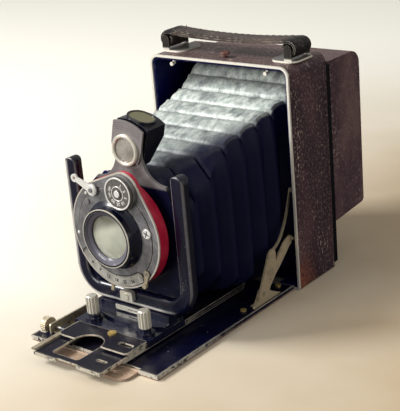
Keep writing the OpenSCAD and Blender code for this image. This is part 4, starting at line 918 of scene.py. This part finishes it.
@dataclass
class Bellows:
    """The two pleated sleeves between the standard and the back of the case.

    Half widths, lowest and highest ridges are given in front and at the rear, and the sides run straight
    between them. The corners are cut off by the corner sizes, which change over within corner_span, a
    share of the length. A fold is 1 on a ridge and -1 in a valley, and deep is half its height. The sides
    fold less towards the corners, down to the share in corner_fold, and pinch is how far a fold moves a
    corner. A point's evenness, which its finish reads, is 1 on the top and side_even elsewhere, and a
    corner has up to corner_even more than a side. In profile each pleat's folds are told by their place
    in the pleat, and flange is the fold of the ends that are glued to the frames. Thick is the leather's
    wall, and join the gap beside the ring where the sleeves meet.
    """

    front_y: float = -0.0893
    middle_y: float = 0.013
    rear_y: float = 0.0377
    front_half: float = 0.0355
    rear_half: float = 0.049
    front_low: float = 0.021
    rear_low: float = 0.010
    front_top: float = 0.1008
    middle_top: float = 0.1250
    rear_top: float = 0.1395
    front_corner: float = 0.0165
    rear_corner: float = 0.003
    corner_from: float = 0.10
    corner_span: float = 0.28
    corner_fold: float = 0.3
    pinch: float = 0.0012
    side_even: float = -0.8
    corner_even: float = 0.7
    steps: int = 6
    deep: float = 0.003
    thick: float = 0.0006
    join: float = 0.0001
    folded: float = 0.09
    front_pleats: int = 7
    rear_pleats: int = 2
    flange: float = 1.1
    profile: list[tuple[float, float]] = field(default_factory=lambda: [
        (0.0, -1.0), (0.05, -0.45), (0.1, 0.25), (0.16, 0.72), (0.24, 0.9), (0.55, 1.0), (0.82, 0.95),
        (0.9, 0.7), (0.95, 0.2)])

    def share(self, y: float) -> float:
        """Return how far y is from the bellows' front, 0, to its rear, 1."""
        return (y - self.front_y) / (self.rear_y - self.front_y)

    def ease(self, y: float) -> float:
        """Return how far the cut corner at y has gone from its front form, 0, to its rear form, 1."""
        gone = min(max((self.share(y) - self.corner_from) / self.corner_span, 0.0), 1.0)
        return gone * gone * (3 - 2 * gone)

    def ridge(self, y: float) -> float:
        """Return how high a ridge of the top is, on two straight lines that meet in the middle.

        Args:
            y: Where the ridge lies.

        Returns:
            Its height.
        """
        if y < self.middle_y:
            rise = (y - self.front_y) / (self.middle_y - self.front_y)
            return self.front_top + (self.middle_top - self.front_top) * rise
        rise = (y - self.middle_y) / (self.rear_y - self.middle_y)
        return self.middle_top + (self.rear_top - self.middle_top) * rise

    def outline(self, y: float, top: float, side: float) -> list[Vector]:
        """Return one ring of the sleeve.

        Args:
            y: Where the ring lies.
            top: Fold of the top and bottom, 1 on a ridge and -1 in a valley.
            side: Fold of the two sides.

        Returns:
            The ring's points in order: up the right side, along the top, down the left side and back
            along the bottom, one more than self.steps on each.
        """
        n = self.steps
        inner = self.front_half + (self.rear_half - self.front_half) * self.share(y) - self.deep
        half = inner + side * self.deep * self.corner_fold
        ground = self.front_low + (self.rear_low - self.front_low) * self.share(y)
        low = ground + self.deep - top * self.deep
        high = self.ridge(y) - self.deep + top * self.deep
        corner = self.front_corner + (self.rear_corner - self.front_corner) * self.ease(y)
        cx = corner - self.pinch * top
        cz = corner + self.pinch * top
        right = []
        for i in range(n + 1):
            fold = side * self.deep * (1 - (1 - self.corner_fold) * (i / n) ** 3)
            right.append(Vector((inner + fold, y, low + cz + (high - low - 2 * cz) * i / n)))
        upper = [Vector((half - cx - 2 * (half - cx) * i / n, y, high)) for i in range(n + 1)]
        left = [Vector((-p.x, y, p.z)) for p in reversed(right)]
        lower = [Vector((-p.x, y, low)) for p in upper]
        return right + upper + left + lower

    def evenness(self, i: int, y: float) -> float:
        """Return how much a point of a ring belongs to the flat top.

        Args:
            i: The point's number in the ring.
            y: Where the ring lies.

        Returns:
            1 on the top and less than 0 elsewhere, least on the sides.
        """
        first, last = self.steps + 1, 2 * self.steps + 1
        if first <= i <= last:
            return 1.0
        if i in (first - 1, last + 1):
            return self.ease(y) * self.corner_even + self.side_even
        return self.side_even

    def sleeve(self, name: str, y0: float, y1: float, pleats: int,
               ends: tuple[float, float]) -> bpy.types.Object:
        """Make one sleeve, with the values fold and flat on its points for its finish.

        Args:
            name: Its name.
            y0: Where it begins.
            y1: Where it ends.
            pleats: Number of its pleats.
            ends: Folds of its first and its last ring.

        Returns:
            The sleeve.
        """
        step = (y1 - y0) / pleats
        stations = [(y0 + (i + t) * step, fold) for i in range(pleats) for t, fold in self.profile]
        stations = stations[1:] + [(y1, ends[1])]
        shape = bmesh.new()
        mark = shape.verts.layers.float.new("fold")
        flat = shape.verts.layers.float.new("flat")
        before = self.outline(y0, ends[0], 1.0)
        ring = [shape.verts.new(p) for p in before]
        lines = [shape.edges.new((ring[i], ring[(i + 1) % len(ring)])) for i in range(len(ring))]
        for y, fold in stations:
            grown = bmesh.ops.extrude_edge_only(shape, edges=lines)["geom"]
            new = [g for g in grown if isinstance(g, bmesh.types.BMVert)]
            lines = [g for g in grown if isinstance(g, bmesh.types.BMEdge)]
            target = self.outline(y, fold, math.cos(2 * math.pi * (y - y0) / step))
            for i, (vert, point) in enumerate(zip(self._in_order(new, before), target)):
                vert.co = point
                vert[mark] = (fold + 1) / 2
                vert[flat] = self.evenness(i, y)
            before = target
        made = Shop.piece(name, shape, Look.CLOTH, None, smooth=50)
        skin = made.modifiers.new("thickness", "SOLIDIFY")
        skin.thickness = self.thick
        skin.offset = -1
        return made

    @staticmethod
    def _in_order(verts: list[bmesh.types.BMVert], points: list[Vector]) -> list[bmesh.types.BMVert]:
        """Sort freshly extruded points into the order of the ring that they came from.

        Args:
            verts: The new points, still in their old places.
            points: The old places in order.

        Returns:
            The new points in order.
        """
        left = list(verts)
        out = []
        for p in points:
            near = min(left, key=lambda v: (v.co - p).length_squared)
            left.remove(near)
            out.append(near)
        return out

    def build(self) -> None:
        """Make both sleeves and tie the front one to the track."""
        front = self.sleeve("bellows_sleeve_front", self.front_y, self.middle_y - self.join,
                            self.front_pleats, (self.flange, -1.0))
        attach(front, "track")
        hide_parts("bellows_front")
        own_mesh(front)
        rear = self.sleeve("bellows_sleeve_rear", self.middle_y + self.join, self.rear_y,
                           self.rear_pleats, (-1.0, self.flange))
        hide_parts("bellows_rear")
        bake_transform(rear)


@dataclass
class Handle:
    """The leather strap with its two end loops and rows of stitches.

    The loops' middles lie at half to each side and at the height loop_z, and loop is their outer radius.
    The strap sags by sag between them. In section are the corners of its cross section, as shares of its
    width and thickness, and in stitch_rows the places of the rows, as shares of its width. A stitch
    starts at each stitch along the strap and takes the share of it in stitch_share.
    """

    half: float = 0.0495
    middle_y: float = 0.020
    width: float = 0.018
    thick: float = 0.0022
    loop: float = 0.0058
    loop_z: float = 0.1582
    loop_turn: int = 300
    loop_step: int = 15
    sag: float = 0.0024
    steps: int = 40
    stitch: float = 0.0026
    stitch_share: float = 0.72
    stitch_rows: tuple[float, float] = (-0.38, 0.38)
    stitch_wide: float = 0.0005
    stitch_high: float = 0.0003
    stitch_clear: float = 0.003
    section: tuple[tuple[float, float], ...] = (
        (-0.5, -0.5), (-0.5, 0.18), (-0.42, 0.42), (-0.3, 0.5), (0.3, 0.5), (0.42, 0.42), (0.5, 0.18),
        (0.5, -0.5))

    def on_loop(self, side: int, turn: int) -> Vector:
        """Return a point of the middle line on one of the loops.

        Args:
            side: 1 for the loop at X above 0 and -1 for the other.
            turn: Where on the loop, in degrees outwards from its top.

        Returns:
            The point.
        """
        r = self.loop - self.thick / 2
        a = math.radians(turn)
        return Vector((side * (self.half + r * math.sin(a)), 0, self.loop_z + r * math.cos(a)))

    def path(self) -> list[Vector]:
        """Lay the middle line of the strap, round both loops, as seen from in front.

        Returns:
            Its points in order, from the end in one loop to the end in the other.
        """
        top = self.loop_z + self.loop - self.thick / 2
        turns = range(self.loop_step, self.loop_turn + 1, self.loop_step)
        points = [self.on_loop(1, turn) for turn in reversed(turns)]
        for i in range(self.steps + 1):
            x = self.half * (1 - 2 * i / self.steps)
            points.append(Vector((x, 0, top - self.sag * (1 - (x / self.half) ** 2))))
        return points + [self.on_loop(-1, turn) for turn in turns]

    def across(self, points: list[Vector], i: int) -> list[Vector]:
        """Return the strap's rounded section at one point of its path.

        Args:
            points: The path.
            i: The point's number.

        Returns:
            The section's corners in order.
        """
        a, b = points[max(i - 1, 0)], points[min(i + 1, len(points) - 1)]
        along = (b - a).normalized()
        out = Vector((along.z, 0, -along.x))
        return [points[i] + out * (h * self.thick) + Vector((0, self.middle_y + w * self.width, 0))
                for w, h in self.section]

    def strap(self, points: list[Vector]) -> None:
        """Make the strap.

        Args:
            points: Its middle line.
        """
        shape = bmesh.new()
        rows = [[shape.verts.new(p) for p in self.across(points, i)] for i in range(len(points))]
        count = len(self.section)
        loops = [[shape.edges.new((row[k], row[(k + 1) % count])) for k in range(count)] for row in rows]
        for one, two in zip(loops, loops[1:]):
            bmesh.ops.bridge_loops(shape, edges=one + two)
        for row in (rows[0], rows[-1]):
            shape.faces.new(row)
        made = Shop.piece("strap", shape, Look.STRAP, "body", smooth=60, slot="strap_leather")
        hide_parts("handle_strap")

    def stitches(self, points: list[Vector]) -> None:
        """Sew a row of stitches along each side of the strap, between its loops.

        Args:
            points: The strap's middle line.
        """
        seams = bmesh.new()
        size = (self.stitch * self.stitch_share, self.stitch_wide, self.stitch_high)
        middle = [p for p in points if abs(p.x) < self.half - self.stitch_clear and p.z > self.loop_z]
        length = 0.0
        for p, q in zip(middle, middle[1:]):
            length += (q - p).length
            if length < self.stitch:
                continue
            length = 0.0
            lie = Matrix.Rotation(-math.atan2(q.z - p.z, q.x - p.x), 4, "Y")
            for row in self.stitch_rows:
                spot = Matrix.Translation((p.x, self.middle_y + row * self.width, p.z + self.thick * 0.5))
                Shop.block(seams, size, spot @ lie)
        Shop.piece("strap_stitches", seams, Look.STRAP, "body")

    def build(self) -> None:
        """Make the strap and its stitches."""
        points = self.path()
        self.strap(points)
        self.stitches(points)


@dataclass
class ShutterMarks:
    """Figures and strokes on the shutter's dial and scale, its small screws and its bright rings.

    Turns are in degrees. Those of the dial and of the screws count clockwise from the top, as seen from
    in front, and those of the scale run from X towards Z. The nut, the screws and the disc are given by
    their radius at the foot and at the front, and their depth. What ends in out is how far a middle lies
    in front of the face behind it. Each round end of the scale is half a circle of end_steps steps, and
    end_drawn of them are drawn.
    """

    axis_z: float = 0.0694
    face_y: float = -0.108
    lift: float = 0.00004
    line: float = 0.0001
    dial_off: float = 0.0306
    dial_turn: float = 19.5
    dial_proud: float = 0.0007
    dial_from: float = 30
    dial_span: float = 300
    figure_r: float = 0.0062
    figure_size: tuple[float, float] = (0.0028, 0.0021)
    figures: tuple[str, ...] = ("1", "2", "5", "10", "25", "50", "100", "250")
    edges: tuple[tuple[float, float, float], ...] = ((0.01, 0.0091, 0.0003), (0.0046, 0.0041, 0.0002))
    nut: tuple[float, float, float] = (0.0026, 0.002, 0.0011)
    nut_out: float = 0.0004
    scale_r: float = 0.0297
    scale_half: float = 0.0034
    scale_ends: tuple[float, float] = (214, 304)
    scale_step: float = 3
    end_steps: int = 10
    end_drawn: int = 8
    scale_line: float = 0.0006
    scale_proud: float = 0.0005
    edge_out: float = 0.00053
    stops: tuple[str, ...] = ("6", "9", "12", "18", "25", "36")
    stop_from: float = 226
    stop_step: float = 13
    stop_size: float = 0.0031
    stop_up: float = 0.0007
    stroke: tuple[float, float, float] = (0.0003, 0.0012, 0.0001)
    stroke_down: float = 0.0021
    screws: tuple[tuple[float, float], ...] = (
        (35, 0.0312), (150, 0.0312), (205, 0.0314), (262, 0.0312), (318, 0.031))
    screw: tuple[float, float, float] = (0.0011, 0.0008, 0.0006)
    screw_out: float = 0.0002
    disc_at: tuple[float, float] = (0.026, 0.0744)
    disc: tuple[float, float, float] = (0.0031, 0.0029, 0.0005)
    disc_out: float = 0.0008
    slot: tuple[float, float, float] = (0.0042, 0.0006, 0.0001)
    slot_turns: tuple[float, float] = (20, 110)
    slot_out: float = 0.00107
    barrel_r: tuple[float, float] = (0.0179, 0.01845)

    def dial(self) -> None:
        """Make the speed dial's figures, its bright edge and its middle."""
        lean = math.radians(self.dial_turn)
        x = self.dial_off * math.sin(lean)
        z = self.axis_z + self.dial_off * math.cos(lean)
        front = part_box("speed_dial")[0].y + self.dial_proud
        marks = bmesh.new()
        for i, text in enumerate(self.figures):
            turn = self.dial_from + i * self.dial_span / len(self.figures)
            spot = Vector((x, front - self.lift, z)) + outward(90 - turn) * self.figure_r
            Shop.writing(marks, text, self.figure_size[len(text) > 2], on_front(*spot, turn))
        Shop.piece("dial_figures", marks, Look.SILVER, "speed_dial")
        rim = bmesh.new()
        sunk = -0.0003
        for outer, inner, proud in self.edges:
            Shop.ring(rim, [(outer, sunk), (outer, proud), (inner, proud), (inner, sunk)],
                      Vector((x, front, z)), FORWARD, steps=48)
        radius, top, depth = self.nut
        Shop.rod(rim, radius, top, depth, on_front(x, front - self.nut_out, z), sides=32)
        Shop.piece("dial_edge", rim, Look.SILVER, "speed_dial", bevel=0.0001)

    def plate_edge(self, y: float) -> list[Vector]:
        """Return the scale plate's inner edge with its two round ends.

        Args:
            y: Where it lies.

        Returns:
            Its points in order.
        """
        middle = Vector((0, y, self.axis_z))
        first, last = self.scale_ends
        count = round((last - first) / self.scale_step)
        points = [middle + outward(first + (last - first) * i / count) * (self.scale_r - self.scale_half)
                  for i in range(count + 1)]
        for end, side in ((last, 1), (first, -1)):
            away, along = outward(end), outward(end + 90) * side
            angles = [math.pi * (i + 1) / self.end_steps for i in range(self.end_drawn)]
            turn = [middle + away * (self.scale_r - self.scale_half * math.cos(t))
                    + along * (self.scale_half * math.sin(t)) for t in angles]
            points = points + turn if side == 1 else list(reversed(turn)) + points
        return points

    def scale(self) -> None:
        """Make the figures, strokes and outline of the aperture scale."""
        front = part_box("aperture_scale")[0].y + self.scale_proud
        middle = Vector((0, front - self.lift, self.axis_z))
        marks = bmesh.new()
        for i, text in enumerate(self.stops):
            turn = self.stop_from + i * self.stop_step
            spot = middle + outward(turn) * (self.scale_r + self.stop_up)
            Shop.writing(marks, text, self.stop_size, on_front(*spot, 270 - turn))
            spot = middle + outward(turn) * (self.scale_r - self.stroke_down)
            Shop.block(marks, self.stroke, on_front(*spot, 270 - turn))
        edge = self.plate_edge(front - self.edge_out)
        for p, q in zip(edge, edge[1:]):
            tilt = math.degrees(math.atan2(p.z - q.z, q.x - p.x))
            size = ((q - p).length + self.line, self.scale_line, self.line)
            Shop.block(marks, size, on_front(*((p + q) / 2), tilt))
        Shop.piece("scale_figures", marks, Look.MARKS, "lens_board")

    def build(self) -> None:
        """Make the marks, screws and rings."""
        self.dial()
        self.scale()
        screws = bmesh.new()
        for turn, radius in self.screws:
            spot = Vector((0, self.face_y - self.screw_out, self.axis_z)) + outward(90 - turn) * radius
            Shop.rod(screws, *self.screw, on_front(*spot), sides=20)
        x, z = self.disc_at
        Shop.rod(screws, *self.disc, on_front(x, self.face_y - self.disc_out, z), sides=32)
        Shop.piece("face_screws", screws, Look.SILVER, "lens_board", bevel=0.0001)
        slots = bmesh.new()
        for turn in self.slot_turns:
            Shop.block(slots, self.slot, on_front(x, self.face_y - self.slot_out, z, turn))
        Shop.piece("screw_slots", slots, Look.MARKS, "lens_board")
        rings = bmesh.new()
        inner, outer = self.barrel_r
        sunk = -0.0006
        Shop.ring(rings, [(outer, sunk), (outer, self.lift), (inner, 2 * self.lift), (inner, sunk)],
                  Vector((0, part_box("lens_barrel")[0].y, self.axis_z)), FORWARD, steps=72)
        Shop.piece("barrel_rings", rings, Look.NICKEL, "lens_board")


@dataclass
class DistanceMarks:
    """Strokes and plain figures on the upright distance scale beside the track.

    What ends in down is how far a middle lies below the scale's upper edge, and what ends in at where it
    lies in its own share of the scale's length.
    """

    figures: tuple[str, ...] = ("1", "2", "3", "5", "8")
    figure_height: float = 0.0026
    figure_down: float = 0.0036
    strokes: int = 12
    stroke_down: float = 0.0012
    stroke_wide: float = 0.00022
    stroke_thick: float = 0.0001
    long: float = 0.0016
    short: float = 0.0009
    lift: float = 0.00003
    stroke_at: float = 0.5
    figure_at: float = 0.6

    def build(self) -> None:
        """Make the marks on the face that looks towards the track."""
        low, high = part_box("distance_scale")
        side = high.x + self.lift
        marks = bmesh.new()
        upright = Matrix.Rotation(math.radians(90), 4, "Z") @ Matrix.Rotation(math.radians(90), 4, "X")
        for i in range(self.strokes):
            y = low.y + (high.y - low.y) * (i + self.stroke_at) / self.strokes
            size = (self.stroke_thick, self.stroke_wide, self.short if i % 2 else self.long)
            Shop.block(marks, size, Matrix.Translation((side, y, high.z - self.stroke_down)))
        for i, text in enumerate(self.figures):
            y = low.y + (high.y - low.y) * (i + self.figure_at) / len(self.figures)
            spot = Matrix.Translation((side, y, high.z - self.figure_down))
            Shop.writing(marks, text, self.figure_height, spot @ upright)
        Shop.piece("distance_figures", marks, Look.MARKS, "body")


@dataclass(frozen=True)
class Lamp:
    """A soft square lamp."""

    name: str
    spot: tuple[float, float, float]
    aim: tuple[float, float, float]
    size: float
    power: float
    colour: tuple[float, float, float]

    def hang(self) -> None:
        """Hang the lamp and turn it towards its aim."""
        data = bpy.data.lights.new(self.name, "AREA")
        data.size = self.size
        data.energy = self.power
        data.color = self.colour
        made = bpy.data.objects.new(self.name, data)
        made.location = self.spot
        made.rotation_mode = "QUATERNION"
        made.rotation_quaternion = (Vector(self.aim) - Vector(self.spot)).to_track_quat("-Z", "Y")
        bpy.context.scene.collection.objects.link(made)


@dataclass
class Stage:
    """Floor, lamps, surroundings and camera.

    The eye, its angles in degrees and its focal length are those from which the photograph was taken, as
    fitted to it. The floor is plain from the far to the near distance in plain_from, and unseen is what
    it reflects onto the object.
    """

    eye: Vector = field(default_factory=lambda: Vector((0.4461, -0.5531, 0.3169)))
    azimuth: float = 40.346
    elevation: float = 20.44
    roll: float = -5.069
    focal_px: float = 1130.43
    long_px: float = 411.0
    sensor: float = 36.0
    floor_half: float = 12.0
    plain_from: tuple[float, float] = (1.9, 0.7)
    pale: str = "fcfaf0"
    warm: str = "b0966f"
    unseen: str = "5a554c"
    air: tuple[float, float, float, float] = (1.0, 0.985, 0.95, 1)
    air_light: float = 0.4
    lamps: tuple[Lamp, ...] = (
        Lamp("key", (-1.12, -0.92, 1.22), (0, 0, 0.08), 0.6, 38, (1.0, 0.995, 0.975)),
        Lamp("front_fill", (-0.45, -1.5, 0.5), (0, 0, 0.08), 0.6, 13, (1.0, 0.98, 0.95)),
        Lamp("right_fill", (1.6, -0.1, 0.7), (0, 0, 0.06), 0.8, 4, (1.0, 0.93, 0.86)),
    )

    def camera(self) -> None:
        """Place the camera as the photograph was taken."""
        a, e, r = (math.radians(v) for v in (self.azimuth, self.elevation, self.roll))
        back = Vector((math.sin(a) * math.cos(e), -math.cos(a) * math.cos(e), math.sin(e)))
        side = Vector((0, 0, 1)).cross(back).normalized()
        up = back.cross(side)
        right = math.cos(r) * side + math.sin(r) * up
        top = -math.sin(r) * side + math.cos(r) * up
        data = bpy.data.cameras.new("camera")
        data.sensor_width = self.sensor
        data.lens = self.focal_px * self.sensor / self.long_px
        data.clip_start = 0.01
        data.clip_end = 60
        made = bpy.data.objects.new("camera", data)
        made.matrix_world = Matrix.Translation(self.eye) @ Matrix((right, top, back)).transposed().to_4x4()
        bpy.context.scene.collection.objects.link(made)
        bpy.context.scene.camera = made

    def floor(self) -> None:
        """Lay the pale floor; its darker tan in front and to the right is partly painted shade."""
        shape = bmesh.new()
        bmesh.ops.create_grid(shape, x_segments=1, y_segments=1, size=self.floor_half)
        mesh = bpy.data.meshes.new("floor")
        shape.to_mesh(mesh)
        shape.free()
        made = bpy.data.objects.new("floor", mesh)
        bpy.context.scene.collection.objects.link(made)
        b = Bench("floor_paint")
        x, y = b.axis("x"), b.axis("y")
        # Distances as the camera sees them: across goes to the right, and away from the eye
        across = x * 0.76 + y * 0.65
        away = y * 0.76 - x * 0.65
        near = ((x ** 2 + y ** 2) ** 0.5).between(*self.plain_from)
        mottle = (0.74 + 0.3 * b.noise(0.16, 4, 0.5).between(0.2, 0.8)) * near
        # Painted shade, partly the floor's own tan: darker where the soft shadow lies, and in front
        warm = across.between(-0.3, 0.2) * away.between(0.7, 0.0) * mottle
        warm = warm.most(0.9 * away.between(0.15, -0.25) * mottle)
        seen = Wire(b, b.node("ShaderNodeLightPath", {}, {}).outputs["Is Camera Ray"])
        colour = b.mix(warm, tone(self.pale), tone(self.warm))
        b.feed({
            "Base Color": b.mix(seen, tone(self.unseen), colour),
            "Roughness": 0.75,
            "Specular IOR Level": 0.2,
        })
        mesh.materials.append(b.material)

    def world(self) -> None:
        """Fill the surroundings with plain pale light."""
        made = bpy.data.worlds.new("surroundings")
        made.use_nodes = True
        ground = made.node_tree.nodes["Background"]
        ground.inputs["Color"].default_value = self.air
        ground.inputs["Strength"].default_value = self.air_light
        bpy.context.scene.world = made

    def build(self) -> None:
        """Set up everything that isn't the object."""
        self.camera()
        self.floor()
        self.world()
        for lamp in self.lamps:
            lamp.hang()
        bpy.context.scene.view_settings.view_transform = "Standard"


def main() -> None:
    """Build every piece and report each one."""
    logging.basicConfig(level=logging.INFO, format="%(name)s: %(message)s")
    Stage().build()
    LOG.info("stage and camera placed")
    for look, nodes in NODE_LOOKS.items():
        for name in nodes:
            finish_node(name, look)
            LOG.info("%s: %s", name, look.value.name)
    for maker in (Bellows(), Handle(), ShutterMarks(), DistanceMarks()):
        maker.build()
        LOG.info("%s built", type(maker).__name__)


if __name__ == "__main__":
    main()
